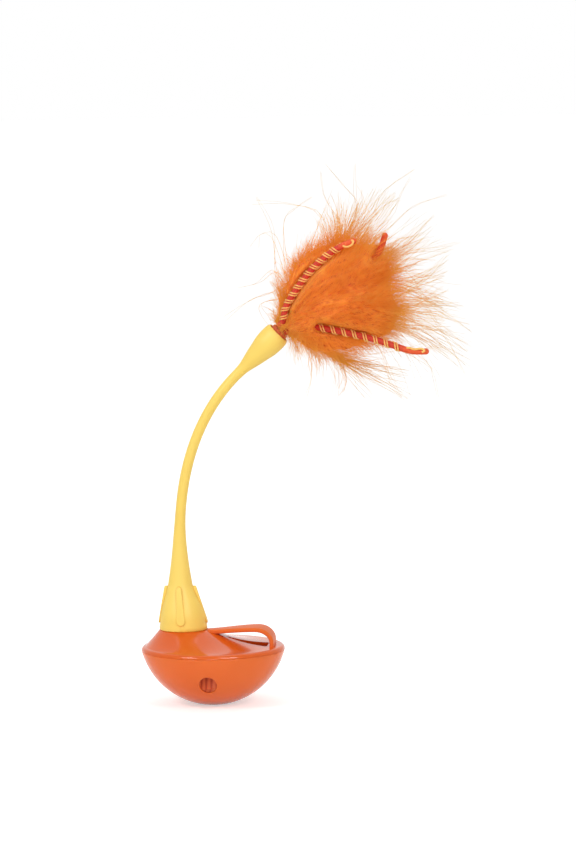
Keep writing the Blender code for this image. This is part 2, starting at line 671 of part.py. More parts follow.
def wand_radius(distance):
    if distance < COLLAR_BAND_HEIGHT:
        return COLLAR_RADIUS
    if distance < COLLAR_LENGTH:
        share = (distance - COLLAR_BAND_HEIGHT) / (COLLAR_LENGTH - COLLAR_BAND_HEIGHT)
        bow = 1 + COLLAR_BOW_SHARE * math.sin(math.pi * share) * (1 - share)
        top = COLLAR_RADIUS - COLLAR_BAND_STEP
        return (top + (COLLAR_TOP_RADIUS - top) * share) * bow
    if distance < CUP_START:
        left = max(0, 1 - (distance - COLLAR_LENGTH) / STEM_TAPER_LENGTH)
        return STEM_RADIUS + (COLLAR_TOP_RADIUS - STEM_RADIUS) * left ** 2
    share = min(1, (distance - CUP_START) / CUP_LENGTH)
    for i in range(1, len(CUP_LENGTH_SHARES)):
        if share <= CUP_LENGTH_SHARES[i]:
            low, high = CUP_LENGTH_SHARES[i - 1], CUP_LENGTH_SHARES[i]
            narrow, wide = CUP_RADIUS_SHARES[i - 1], CUP_RADIUS_SHARES[i]
            return CUP_RADIUS * (narrow + (wide - narrow) * (share - low) / (high - low))
    return CUP_RADIUS * CUP_RADIUS_SHARES[-1]


# The rounded end of a stem length beside a flex point: sign 1 starts there, sign -1 ends there.
def rounded_end(distance, sign):
    pivot = wand_point(distance)
    along = sign * wand_along(distance)
    radius = wand_radius(distance)
    points = []
    for degrees in (14, 38, 64, 90):
        angle = math.radians(degrees)
        points.append((pivot + along * (FIT_GAP + radius * (1 - math.cos(angle))), radius * math.sin(angle)))
    return points if sign > 0 else points[::-1]


# A length of the stem between two flex points, with a rounded end at each.
def build_stem(name, start, end, surface):
    first = start + wand_radius(start) + STEM_RADIUS
    last = end - wand_radius(end) - STEM_RADIUS
    knots = rounded_end(start, 1)
    for i in range(1, STEM_ROWS):
        distance = first + (last - first) * i / STEM_ROWS
        knots.append((wand_point(distance), wand_radius(distance)))
    return tube_mesh(name, *zip(*(knots + rounded_end(end, -1))), surface, STEM_RESOLUTION)


# One grip rib of the collar: a raised drop-shaped pad that leans with the collar's side.
def build_rib(number, angle, surface):
    outward = Vector((math.cos(angle), math.sin(angle), 0))
    across = Vector((-math.sin(angle), math.cos(angle), 0))
    outline = []
    for i in range(RIB_END_STEPS + 1):
        turn = math.pi * (1 + i / RIB_END_STEPS)
        outline.append((RIB_WIDTH / 2 * math.cos(turn), RIB_WIDTH / 2 * (1 + math.sin(turn))))
    for i in range(RIB_END_STEPS + 1):
        turn = math.pi * i / RIB_END_STEPS
        rise = RIB_LENGTH - RIB_TOP_WIDTH / 2 * (1 - math.sin(turn))
        outline.append((RIB_TOP_WIDTH / 2 * math.cos(turn), rise))
    shape = bmesh.new()
    verts = []
    for side, rise in outline:
        centre = wand_point(RIB_START + rise)
        reach = RIB_FOOT_RADIUS + (RIB_HEAD_RADIUS - RIB_FOOT_RADIUS) * rise / RIB_LENGTH
        verts.append(shape.verts.new(centre + outward * reach + across * side))
    face = shape.faces.new(verts)
    grown = bmesh.ops.extrude_face_region(shape, geom=[face])
    moved = [item for item in grown["geom"] if isinstance(item, bmesh.types.BMVert)]
    bmesh.ops.translate(shape, verts=moved, vec=-RIB_ROOT * outward)
    return finish_mesh(f"collar_rib_{number}", shape, surface)


def build_wand(yellow):
    knots = [0, COLLAR_BAND_HEIGHT - COLLAR_BAND_STEP]
    run = BEND_JOINT_PLACE - wand_radius(BEND_JOINT_PLACE) - FIT_GAP - COLLAR_BAND_HEIGHT
    knots += [COLLAR_BAND_HEIGHT + run * i / COLLAR_ROWS for i in range(COLLAR_ROWS)]
    rows = [(wand_point(knot), wand_radius(knot)) for knot in knots] + rounded_end(BEND_JOINT_PLACE, -1)
    collar = tube_mesh("wand_collar", *zip(*rows), yellow, COLLAR_RESOLUTION)
    for number in range(RIB_COUNT):
        boolean(collar, build_rib(number, math.tau * number / RIB_COUNT, yellow), "UNION")
    bore_radius = INSERT_OUTER_RADIUS + FIT_GAP
    bore_foot = WAND_FOOT_Z - CUT_OVERRUN
    bore = cylinder("collar_bore", bore_radius, bore_foot, INSERT_TOP_Z + FIT_GAP, yellow, BOWL_STEPS)
    bore.location = NECK_CENTRE
    boolean(collar, bore, "DIFFERENCE")
    build_stem("stem_middle", BEND_JOINT_PLACE, SWAY_JOINT_PLACE, yellow)
    build_stem("stem_upper", SWAY_JOINT_PLACE, TIP_JOINT_PLACE, yellow)
    cup_knots = [CUP_START + CUP_LENGTH * share for share in CUP_LENGTH_SHARES]
    rows = rounded_end(TIP_JOINT_PLACE, 1) + [(wand_point(knot), wand_radius(knot)) for knot in cup_knots]
    cup = tube_mesh("tip_cup", *zip(*rows), yellow, CUP_RESOLUTION)
    outline = arc(SEAT_RADIUS, 0, math.pi / 2, 5)
    mouth_end = CUP_SEAT_DEPTH + CUT_OVERRUN
    outline += [(CUP_MOUTH_RADIUS, 0), (CUP_MOUTH_RADIUS, mouth_end), (0, mouth_end)]
    mouth = turned("cup_mouth", outline, yellow, SMALL_STEPS * 2)
    mouth.matrix_world = tassel_matrix()
    boolean(cup, mouth, "DIFFERENCE")


# Local Z along the tassel, local X up beside it, with its origin where the tassel turns in the cup.
def tassel_matrix():
    side = TASSEL_AXIS.cross(TASSEL_UP)
    turn = Matrix((TASSEL_UP, side, TASSEL_AXIS)).transposed()
    return Matrix.Translation(TASSEL_PIVOT) @ turn.to_4x4()


# The bound roots of the tassel: a ball that seats in the cup, flat in front.
def build_binding(surface):
    face = CUP_SEAT_DEPTH + BINDING_REACH
    outline = arc(BINDING_RADIUS, 0, math.pi / 2, 6) + [(BINDING_RADIUS - BINDING_TAPER, face), (0, face)]
    binding = turned("tassel_binding", outline, surface, SMALL_STEPS * 2)
    binding.matrix_world = tassel_matrix()
    return binding


def root_point(degrees, radius, height):
    angle = math.radians(degrees)
    return LIP + radius * (math.cos(angle) * TASSEL_UP + math.sin(angle) * TASSEL_FRONT) + height * TASSEL_AXIS


# Points spaced evenly along one smooth curve through the given points.
def smooth_route(points, count):
    chain = [2 * points[0] - points[1]] + list(points) + [2 * points[-1] - points[-2]]
    dense = []
    for a, b, c, d in zip(chain, chain[1:], chain[2:], chain[3:]):
        for i in range(SPLINE_STEPS):
            t = i / SPLINE_STEPS
            bend = (2 * a - 5 * b + 4 * c - d) * t ** 2 + (3 * b - a - 3 * c + d) * t ** 3
            dense.append((2 * b + (c - a) * t + bend) / 2)
    dense.append(points[-1])
    lengths = [0]
    for near, far in zip(dense, dense[1:]):
        lengths.append(lengths[-1] + (far - near).length)
    route = []
    at = 0
    for i in range(count):
        wanted = lengths[-1] * i / (count - 1)
        while at < len(dense) - 2 and lengths[at + 1] < wanted:
            at += 1
        part = (wanted - lengths[at]) / (lengths[at + 1] - lengths[at])
        route.append(dense[at].lerp(dense[at + 1], min(1, part)))
    return route, lengths[-1]


# A steady frame at each point of a route: along it, and two directions across it that don't twist.
def frames(route, first_side):
    made = []
    side = Vector(first_side)
    for i in range(len(route)):
        along = (route[min(i + 1, len(route) - 1)] - route[max(i - 1, 0)]).normalized()
        side = (side - side.dot(along) * along).normalized()
        made.append((along, side, along.cross(side)))
    return made


def cord_root_height():
    return BINDING_REACH + FIT_GAP + CORD_RADIUS


def build_cord(name, root_degrees, turn_pitch, plain_tip, places, red, cream):
    root = root_point(root_degrees, CORD_CIRCLE_RADIUS, cord_root_height())
    start = root + CORD_RADIUS * 2 * TASSEL_AXIS
    places = [LIP + TASSEL_REACH * Vector(place) for place in places]
    route, length = smooth_route([root, start] + places, CORD_ROWS)
    along = (route[1] - route[0]).normalized()
    points = []
    radii = []
    for degrees in (14, 40, 66):
        angle = math.radians(degrees)
        points.append(root - along * CORD_RADIUS * math.cos(angle))
        radii.append(CORD_RADIUS * math.sin(angle))
    points += route
    radii += [CORD_RADIUS] * len(route)
    end = (route[-1] - route[-2]).normalized()
    for degrees in (60, 24):
        angle = math.radians(degrees)
        points.append(route[-1] + end * CORD_RADIUS * math.cos(angle))
        radii.append(CORD_RADIUS * math.sin(angle))
    tube(name + "_core", points, radii, red, CORD_RESOLUTION)
    wound = length - THREAD_START - plain_tip
    turns = min(MOST_TURNS, wound / turn_pitch)
    fine, _ = smooth_route(route, FINE_CORD_ROWS)
    sides = frames(fine, TASSEL_UP)
    count = round(turns * WINDING_STEPS)
    for letter, shift in (("a", 0), ("b", THREAD_PAIR_STEP)):
        helix = []
        for i in range(count + 1):
            distance = THREAD_START + shift + (wound - THREAD_PAIR_STEP) * i / count
            spot = distance / length * (len(fine) - 1)
            low = int(spot)
            place = fine[low].lerp(fine[low + 1], spot - low)
            _, side, other = sides[low]
            angle = math.tau * turns * i / count
            helix.append(place + HELIX_RADIUS * (math.cos(angle) * side + math.sin(angle) * other))
        tube(f"{name}_thread_{letter}", helix, [THREAD_RADIUS] * len(helix), cream, THREAD_RESOLUTION)
        gap = least_gap(helix) * 1000
        print(f"{name}_thread_{letter}: {turns:.1f} turns, least gap to itself {gap:.2f} mm")
    print(f"{name}: {length * 1000:.1f} mm long")


# The least space between turns: points at least half a turn apart along the winding.
def least_gap(helix):
    apart = WINDING_STEPS // 2
    nearest = min(
        (helix[i] - helix[j]).length for i in range(len(helix)) for j in range(i + apart, len(helix))
    )
    return nearest - 2 * THREAD_RADIUS


# A plume: a bare quill that widens into a leaf-shaped vane and ends in a fine point.
def build_plume(name, root_degrees, root_share, middle, tip, facing, vane_end, orange):
    root = root_point(root_degrees, QUILL_CIRCLE_RADIUS * root_share, BINDING_REACH + FIT_GAP)
    start = root + QUILL_RISE * TASSEL_AXIS
    places = [LIP + TASSEL_REACH * Vector(place) for place in (middle, tip)]
    route, length = smooth_route([root, start] + places, PLUME_RINGS)
    rings = []
    for i, (along, flat, wide) in enumerate(frames(route, facing)):
        share = (i / (PLUME_RINGS - 1) - QUILL_BARE_SHARE) / (vane_end - QUILL_BARE_SHARE)
        leaf = math.sin(math.pi * share ** VANE_FULLNESS) if 0 < share < 1 else 0
        half_width = QUILL_RADIUS + (VANE_WIDTH / 2 - QUILL_RADIUS) * leaf
        half_thick = QUILL_RADIUS + (VANE_THICKNESS / 2 - QUILL_RADIUS) * leaf
        ring = []
        for step in range(PLUME_STEPS):
            angle = math.tau * step / PLUME_STEPS
            ring.append(route[i] + half_width * math.cos(angle) * wide + half_thick * math.sin(angle) * flat)
        rings.append(ring)
    plume = skinned(name, rings, orange)
    print(f"{name}: {length * 1000:.1f} mm long")
    return plume


def main():
    clear_scene()
    orange_gloss = material("orange_gloss_plastic", (0.81, 0.16, 0.05), 0.25)
    orange_inner = material("orange_inner_plastic", (0.78, 0.15, 0.05), 0.4)
    iron = material("ballast_iron", (0.2, 0.2, 0.21), 0.6, 1.0)
    steel = material("screw_steel", (0.6, 0.6, 0.62), 0.35, 1.0)
    rubber = material("seal_rubber", (0.05, 0.05, 0.05), 0.8)
    insert_plastic = material("insert_plastic", (0.85, 0.82, 0.7), 0.45)
    yellow = material("soft_yellow_plastic", (0.96, 0.67, 0.17), 0.5)
    binding = material("binding_glue", (0.75, 0.2, 0.04), 0.7)
    red_cord = material("red_cord", (0.55, 0.05, 0.02), 0.75)
    cream_thread = material("cream_thread", (0.93, 0.62, 0.22), 0.6)
    feather = material("orange_feather", (0.85, 0.2, 0.02), 0.85)

    build_bowl(orange_gloss)
    build_weight(iron)
    build_plate(orange_inner)
    build_screws(steel)
    build_cover(orange_gloss)
    build_seal(rubber)
    build_insert(insert_plastic)
    build_wand(yellow)
    build_binding(binding)
    for name, (degrees, turn_pitch, plain_tip, places) in CORD_SHARES.items():
        build_cord(name, degrees, turn_pitch, plain_tip, places, red_cord, cream_thread)
    for name, facts in PLUME_SHARES.items():
        build_plume(name, *facts, feather)

    def millimetres(place):
        return " ".join(f"{value * 1000:.2f}" for value in place)

    print("rim height", millimetres((RIM_Z,)), "neck top", millimetres((NECK_TOP_Z,)))
    for label, distance in (("bend", BEND_JOINT_PLACE), ("sway", SWAY_JOINT_PLACE), ("tip", TIP_JOINT_PLACE)):
        print(label, "joint at", millimetres(wand_point(distance)), "along", wand_along(distance)[:])
    print("lip at", millimetres(LIP), "tassel pivot", millimetres(TASSEL_PIVOT), "axis", TASSEL_AXIS[:])
    for name, (degrees, *_) in CORD_SHARES.items():
        print(name, "root at", millimetres(root_point(degrees, CORD_CIRCLE_RADIUS, cord_root_height())))


main()
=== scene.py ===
import math
import random
from math import cos, pi, radians, sin, sqrt, tau

import bmesh
import bpy
import numpy as np
from mathutils import Matrix, Vector, noise


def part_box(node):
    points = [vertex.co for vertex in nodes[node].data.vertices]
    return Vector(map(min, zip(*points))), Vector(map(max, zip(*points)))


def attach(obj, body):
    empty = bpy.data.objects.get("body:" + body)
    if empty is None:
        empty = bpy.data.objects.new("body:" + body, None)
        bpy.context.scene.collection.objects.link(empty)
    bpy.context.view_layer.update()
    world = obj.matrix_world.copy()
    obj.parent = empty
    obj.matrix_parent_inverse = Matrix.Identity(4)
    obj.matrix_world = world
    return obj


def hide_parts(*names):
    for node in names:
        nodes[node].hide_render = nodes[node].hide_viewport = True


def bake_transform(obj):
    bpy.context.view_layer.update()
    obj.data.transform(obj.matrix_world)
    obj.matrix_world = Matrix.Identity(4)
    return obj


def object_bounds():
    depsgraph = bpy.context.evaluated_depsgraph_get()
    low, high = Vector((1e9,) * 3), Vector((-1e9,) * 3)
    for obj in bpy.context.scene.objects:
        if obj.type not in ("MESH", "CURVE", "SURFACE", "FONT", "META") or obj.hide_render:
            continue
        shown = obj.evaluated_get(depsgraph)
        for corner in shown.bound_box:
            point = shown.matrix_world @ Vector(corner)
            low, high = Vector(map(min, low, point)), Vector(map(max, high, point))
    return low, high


# Wobbling cat toy: a treat bowl with a strap handle, a flexible wand, and a tassel of marabou and wound cords.
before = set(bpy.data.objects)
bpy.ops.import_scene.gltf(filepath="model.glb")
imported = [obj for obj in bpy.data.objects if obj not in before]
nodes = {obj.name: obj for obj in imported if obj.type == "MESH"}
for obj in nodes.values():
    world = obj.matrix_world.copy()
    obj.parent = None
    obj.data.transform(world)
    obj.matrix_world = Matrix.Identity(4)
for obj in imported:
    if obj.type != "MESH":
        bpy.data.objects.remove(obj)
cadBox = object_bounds()
mm = 0.001
white = (1, 1, 1, 1)
alongX, alongY, alongZ = Vector((1, 0, 0)), Vector((0, 1, 0)), Vector((0, 0, 1))
print("frame:", len(nodes), "nodes")


# Materials
def hue(red, green, blue):
    return tuple((value / 255) ** 2.2 for value in (red, green, blue)) + (1.0,)


def newMaterial(name, roughness, **sockets):
    made = bpy.data.materials.new(name)
    made.use_nodes = True
    shader = made.node_tree.nodes["Principled BSDF"]
    for socket, value in dict(sockets, Roughness=roughness).items():
        shader.inputs[socket.replace("_", " ")].default_value = value
    return made, made.node_tree, shader


def addNode(tree, kind, links=(), **values):
    node = tree.nodes.new(kind)
    for key, value in values.items():
        socket = key.replace("_", " ")
        if socket in node.inputs:
            node.inputs[socket].default_value = value
        else:
            setattr(node, key, value)
    for source, target in links:
        tree.links.new(source, node.inputs[target])
    return node


def objectPlaces(tree, stretch=(1, 1, 1)):
    places = addNode(tree, "ShaderNodeTexCoord").outputs["Object"]
    return addNode(tree, "ShaderNodeMapping", [(places, "Vector")], Scale=stretch).outputs["Vector"]


def noiseOver(tree, places, scale, detail=2.0):
    return addNode(tree, "ShaderNodeTexNoise", [(places, "Vector")], Scale=scale, Detail=detail).outputs["Fac"]


def colourRamp(tree, factor, stops):
    ramp = addNode(tree, "ShaderNodeValToRGB", [(factor, "Fac")])
    elements = ramp.color_ramp.elements
    while len(elements) < len(stops):
        elements.new(0.5)
    for element, (place, colour) in zip(elements, stops):
        element.position = place
        element.color = colour
    return ramp.outputs["Color"]


def bumpFrom(tree, shader, height, strength, distance):
    bump = addNode(tree, "ShaderNodeBump", [(height, "Height")], Strength=strength, Distance=distance)
    tree.links.new(bump.outputs["Normal"], shader.inputs["Normal"])


def multiplied(tree, first, second):
    mix = addNode(tree, "ShaderNodeMix", [(first, 6), (second, 7)], data_type="RGBA", blend_type="MULTIPLY")
    mix.inputs[0].default_value = 1.0
    return mix.outputs[2]


# A glow stands for the light that comes through down or a thin wall
def paintShader(tree, shader, colour, glow=0.0):
    tree.links.new(colour, shader.inputs["Base Color"])
    if glow:
        tree.links.new(colour, shader.inputs["Emission Color"])
        shader.inputs["Emission Strength"].default_value = glow


# Painted shade: the colour darkens where ambient occlusion finds a crease or corner within the given distance
def creaseShade(tree, distance, shade):
    near = addNode(tree, "ShaderNodeAmbientOcclusion", samples=8, Distance=distance)
    return colourRamp(tree, near.outputs["AO"], ((0.55, shade), (0.95, white)))


def mouldedPlastic(name, light, dark, roughness, grainScale, grainDepth, paintedCreaseShade=None, **sockets):
    made, tree, shader = newMaterial(name, roughness, **sockets)
    places = objectPlaces(tree)
    colour = colourRamp(tree, noiseOver(tree, places, 22.0), ((0.3, dark), (0.7, light)))
    if paintedCreaseShade:
        colour = multiplied(tree, colour, creaseShade(tree, *paintedCreaseShade))
    paintShader(tree, shader, colour)
    grain = noiseOver(tree, places, grainScale, 3.0)
    polish = addNode(tree, "ShaderNodeMapRange", [(grain, "Value")], To_Min=roughness * 0.85, To_Max=roughness * 1.2)
    tree.links.new(polish.outputs["Result"], shader.inputs["Roughness"])
    bumpFrom(tree, shader, grain, 0.25, grainDepth)
    return made


# The ribbed floor of the treat room: painted shade between the ribs and towards its top, and a glow for the light
# that comes in through the thin wall
def ribbedPlastic(name):
    made, tree, shader = newMaterial(name, 0.42)
    places = objectPlaces(tree)
    clouds = noiseOver(tree, places, 60.0)
    colour = colourRamp(tree, clouds, ((0.3, hue(242, 124, 80)), (0.7, hue(250, 134, 88))))
    ribs = addNode(tree, "ShaderNodeTexWave", [(places, "Vector")], Scale=92.4)
    # Painted shade in the grooves between the ribs
    ribShade = colourRamp(tree, ribs.outputs["Fac"], ((0.1, (0.66, 0.46, 0.46, 1)), (0.8, white)))
    # Painted shade towards the top of the dome
    split = addNode(tree, "ShaderNodeSeparateXYZ", [(places, "Vector")])
    height = addNode(tree, "ShaderNodeMapRange", [(split.outputs["Z"], "Value")], From_Min=12 * mm, From_Max=22 * mm)
    topShade = colourRamp(tree, height.outputs["Result"], ((0.0, white), (1.0, (0.56, 0.42, 0.42, 1))))
    paintShader(tree, shader, multiplied(tree, multiplied(tree, colour, ribShade), topShade), 0.36)
    return made


# Iron, steel and yarn: one noise gives both the colour and the relief
def grained(name, roughness, stops, scale, detail, strength, depth, stretch=(1, 1, 1), **sockets):
    made, tree, shader = newMaterial(name, roughness, **sockets)
    grain = noiseOver(tree, objectPlaces(tree, stretch), scale, detail)
    paintShader(tree, shader, colourRamp(tree, grain, stops))
    bumpFrom(tree, shader, grain, strength, depth)
    return made


def spunYarn(name, light, dark, scale, depth):
    stops = ((0.32, dark), (0.62, light))
    return grained(name, 0.75, stops, scale, 5.0, 0.7, depth, Sheen_Weight=0.25, Sheen_Roughness=0.4)


# Painted shade: the core is darker along its wound length, for the shade of the thread's turns, and keeps a lighter
# red on its bare tip
def woundCord(name):
    made, tree, shader = newMaterial(name, 0.8, Sheen_Weight=0.1, Sheen_Roughness=0.4)
    fibres = noiseOver(tree, objectPlaces(tree), 1400.0, 5.0)
    wound = colourRamp(tree, fibres, ((0.32, hue(180, 36, 16)), (0.62, hue(222, 62, 30))))
    plain = colourRamp(tree, fibres, ((0.32, hue(214, 66, 22)), (0.62, hue(240, 96, 40))))
    tip = addNode(tree, "ShaderNodeAttribute", attribute_name="plainTip").outputs["Fac"]
    mix = addNode(tree, "ShaderNodeMix", [(tip, 0), (wound, 6), (plain, 7)], data_type="RGBA")
    paintShader(tree, shader, mix.outputs[2])
    bumpFrom(tree, shader, fibres, 0.7, 0.0002)
    return made


def featherDown(name):
    made, tree, shader = newMaterial(name, 0.8, Sheen_Weight=0.8, Sheen_Roughness=0.5, Sheen_Tint=(1.0, 0.42, 0.1, 1))
    along = addNode(tree, "ShaderNodeAttribute", attribute_name="alongBarb")
    stops = (
        (0.0, hue(244, 138, 27)), (0.35, hue(243, 148, 35)), (0.5, hue(238, 168, 58)), (1.0, hue(220, 180, 84)),
    )
    colour = colourRamp(tree, along.outputs["Fac"], stops)
    clouds = noiseOver(tree, objectPlaces(tree), 60.0, 3.0)
    shade = colourRamp(tree, clouds, ((0.3, (0.88, 0.80, 0.74, 1)), (0.65, white)))
    paintShader(tree, shader, multiplied(tree, colour, shade), 0.19)
    return made


def packedFeather(name):
    made, tree, shader = newMaterial(
        name, 0.9, Subsurface_Weight=0.6, Subsurface_Radius=(1.0, 0.4, 0.12), Subsurface_Scale=0.005
    )
    flow = addNode(tree, "ShaderNodeAttribute", attribute_name="flow")
    locks = noiseOver(tree, flow.outputs["Vector"], 1.0, 6.0)
    stops = ((0.3, hue(206, 88, 18)), (0.47, hue(233, 125, 34)), (0.68, hue(248, 154, 50)))
    paintShader(tree, shader, colourRamp(tree, locks, stops), 0.05)
    bumpFrom(tree, shader, locks, 0.8, 0.0008)
    return made


glossOrange = mouldedPlastic(
    "glossOrange", hue(244, 118, 60), hue(240, 113, 56), 0.14, 900.0, 0.00003, Specular_IOR_Level=0.1,
    Subsurface_Weight=0.2, Subsurface_Radius=(1.0, 0.35, 0.12), Subsurface_Scale=0.004
)
# Painted shade: the cover is the bowl's orange plastic, given a darker copy to even out the stronger light from above
# on its deck
shadedCoverOrange = mouldedPlastic(
    "shadedCoverOrange", hue(224, 97, 32), hue(220, 93, 29), 0.16, 900.0, 0.00003, Specular_IOR_Level=0.12,
    Coat_Weight=0.25, Coat_Roughness=0.05
)
strapOrange = mouldedPlastic(
    "strapOrange", hue(232, 114, 58), hue(227, 108, 54), 0.3, 900.0, 0.00003, Specular_IOR_Level=0.02
)
innerOrange = ribbedPlastic("innerOrange")
# The soft yellow gets painted shade in its creases and corners
softYellow = mouldedPlastic(
    "softYellow", hue(252, 217, 108), hue(249, 211, 100), 0.45, 1600.0, 0.00004,
    paintedCreaseShade=(0.0016, (0.84, 0.68, 0.42, 1)), Specular_IOR_Level=0.25
)
insertCream = mouldedPlastic("insertCream", hue(238, 232, 212), hue(230, 222, 200), 0.45, 1500.0, 0.00004)
sealRubber = mouldedPlastic("sealRubber", hue(48, 48, 50), hue(34, 34, 36), 0.6, 1800.0, 0.00006)
ironStops = ((0.3, hue(62, 62, 66)), (0.7, hue(110, 110, 114)))
ballastIron = grained("ballastIron", 0.6, ironStops, 700.0, 6.0, 0.6, 0.0003, Metallic=0.7)
steelStops = ((0.3, hue(168, 168, 172)), (0.7, hue(214, 214, 216)))
screwSteel = grained("screwSteel", 0.3, steelStops, 500.0, 4.0, 0.2, 0.00005, stretch=(1, 1, 12), Metallic=1.0)
bindingYarn = spunYarn("bindingYarn", hue(222, 100, 40), hue(176, 58, 18), 1500.0, 0.0002)
cordYarn = woundCord("cordYarn")
threadYarn = spunYarn("threadYarn", hue(255, 212, 120), hue(244, 172, 72), 2200.0, 0.0001)
marabou = featherDown("marabou")
packedDown = packedFeather("packedDown")

cadFinishes = {
    "ballast_plate": innerOrange,
    "ballast_weight": ballastIron,
    "ballast_screw_1": screwSteel,
    "ballast_screw_2": screwSteel,
    "ballast_screw_3": screwSteel,
    "neck_seal": sealRubber,
    "collar_insert": insertCream,
}
for nodeName, finish in cadFinishes.items():
    nodes[nodeName].data.materials.clear()
    nodes[nodeName].data.materials.append(finish)
print("materials:", len(bpy.data.materials))


# Shared making
def linked(name, data):
    made = bpy.data.objects.new(name, data)
    bpy.context.scene.collection.objects.link(made)
    return made


def bakedMesh(piece, name):
    bpy.context.view_layer.update()
    data = bpy.data.meshes.new_from_object(piece.evaluated_get(bpy.context.evaluated_depsgraph_get()))
    data.name = name
    return data


def newPiece(name, shape, finish, sharpDegrees=40):
    bmesh.ops.recalc_face_normals(shape, faces=shape.faces[:])
    if shape.calc_volume(signed=True) < 0:
        bmesh.ops.reverse_faces(shape, faces=shape.faces[:])
    data = bpy.data.meshes.new(name)
    shape.to_mesh(data)
    shape.free()
    data.shade_smooth()
    data.set_sharp_from_angle(angle=radians(sharpDegrees))
    data.materials.append(finish)
    return linked(name, data)


def place(piece, body, slotName, *replaced):
    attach(piece, body)
    if replaced:
        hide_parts(*replaced)
    return piece


def ringPlaces(centre, along, side, radius, steps):
    across = along.cross(side)
    turns = [tau * i / steps for i in range(steps)]
    return [centre + radius * (cos(turn) * side + sin(turn) * across) for turn in turns]


# A skin over rings of equal length, capped at both ends or led round to the first ring
def sweepRings(rings, roundAgain=False):
    shape = bmesh.new()
    first = verts = bmesh.ops.create_circle(shape, segments=len(rings[0]), radius=1 * mm)["verts"]
    for vert, spot in zip(first, rings[0]):
        vert.co = spot
    for ring in rings[1:] + (rings[:1] if roundAgain else []):
        edges = [shape.edges.get(pair) for pair in zip(verts, verts[1:] + verts[:1])]
        grown = bmesh.ops.extrude_edge_only(shape, edges=edges)["geom"]
        fresh = {item for item in grown if isinstance(item, bmesh.types.BMVert)}
        near = [[edge.other_vert(vert) for edge in vert.link_edges] for vert in verts]
        verts = [next(other for other in others if other in fresh) for others in near]
        for vert, spot in zip(verts, ring):
            vert.co = spot
    if roundAgain:
        bmesh.ops.weld_verts(shape, targetmap=dict(zip(verts, first)))
    else:
        shape.faces.new(first)
        shape.faces.new(verts)
    return shape


def addSpline(curve, points, radii):
    spline = curve.splines.new("POLY")
    spline.points.add(len(points) - 1)
    spline.points.foreach_set("co", [value for point in points for value in (*point, 1.0)])
    spline.points.foreach_set("radius", radii)
    return spline


# Strands with an even, many-sided section, as one closed mesh each
def curvePiece(name, strands, sides, finish):
    profile = bpy.data.curves.new(name + "Profile", "CURVE")
    turns = [tau * i / sides for i in range(sides)]
    addSpline(profile, [(cos(turn), sin(turn), 0) for turn in turns], [1.0] * sides).use_cyclic_u = True
    profileHolder = linked(name + "Profile", profile)
    curve = bpy.data.curves.new(name, "CURVE")
    curve.dimensions = "3D"
    curve.bevel_mode = "OBJECT"
    curve.bevel_object = profileHolder
    curve.use_fill_caps = True
    for points, radii in strands:
        addSpline(curve, points, radii)
    holder = linked(name + "Curve", curve)
    data = bakedMesh(holder, name)
    for used in (holder, profileHolder):
        bpy.data.objects.remove(used)
    for used in (curve, profile):
        bpy.data.curves.remove(used)
    data.materials.clear()
    data.materials.append(finish)
    data.shade_smooth()
    return linked(name, data)


def cutAway(piece, tool, sharpDegrees):
    step = piece.modifiers.new("cut", "BOOLEAN")
    step.operation = "DIFFERENCE"
    step.solver = "EXACT"
    step.object = tool
    old = piece.data
    data = bakedMesh(piece, old.name)
    piece.modifiers.clear()
    piece.data = data
    bpy.data.meshes.remove(old)
    bpy.data.objects.remove(tool)
    data.set_sharp_from_angle(angle=radians(sharpDegrees))


def vertexPlaces(piece):
    spots = np.empty(len(piece.data.vertices) * 3, np.float32)
    piece.data.vertices.foreach_get("co", spots)
    return spots.reshape(-1, 3)


def paintVertices(piece, name, kind, key, values):
    attribute = piece.data.attributes.new(name, kind, "POINT")
    attribute.data.foreach_set(key, values.astype(np.float32).ravel())


# Bowl
bowl = {
    "rimRadius": 47.5 * mm,
    "depth": 36.81 * mm,
    "wall": 2.2 * mm,
    "footRadius": 9.5 * mm,
    "lipRound": 0.35 * mm,
    "lipRise": 0.2 * mm,
    "holeRadius": 5.65 * mm,
    "holeHeight": 17.8 * mm,
    "holeLip": 1.3 * mm,
    "cutOutside": 4 * mm,
    "cutToY": 26 * mm,
    "holeSteps": 64,
    "steps": 144,
    "rows": 40,
}
sphereRadius = (bowl["rimRadius"] ** 2 + bowl["depth"] ** 2) / (2 * bowl["depth"])
sphereZ = sqrt(sphereRadius ** 2 - bowl["footRadius"] ** 2)
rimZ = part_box("bowl_shell")[1].z


def arcPoints(radius, first, last, count, centre):
    angles = [first + (last - first) * i / count for i in range(count + 1)]
    return [(centre[0] + radius * sin(angle), centre[1] - radius * cos(angle)) for angle in angles]


def buildBowl():
    innerRadius = sphereRadius - bowl["wall"]
    lipRound, lipZ = bowl["lipRound"], rimZ + bowl["lipRise"]
    footAngle = math.asin(bowl["footRadius"] / sphereRadius)
    rimAngle = math.acos((sphereZ - lipZ) / sphereRadius) - lipRound / sphereRadius
    innerAngle = math.acos((sphereZ - lipZ) / innerRadius)
    outline = [(0, 0)] + arcPoints(sphereRadius, footAngle, rimAngle, bowl["rows"], (0, sphereZ))
    outline += arcPoints(lipRound, pi * 0.62, pi, 5, (outline[-1][0] - lipRound, lipZ - lipRound))
    outline += arcPoints(innerRadius, innerAngle, 0, bowl["rows"] // 2, (0, sphereZ))
    shape = bmesh.new()
    verts = [shape.verts.new((max(0, radius), 0, height)) for radius, height in outline]
    edges = [shape.edges.new(pair) for pair in zip(verts, verts[1:])]
    bmesh.ops.spin(
        shape, geom=verts + edges, cent=(0, 0, 0), axis=(0, 0, 1), angle=tau, steps=bowl["steps"], use_merge=True
    )
    bmesh.ops.remove_doubles(shape, verts=shape.verts[:], dist=0.00002)
    made = newPiece("bowl", shape, glossOrange)
    for side in (-1, 1):
        cutAway(made, holeTool(side), 40)
    return made


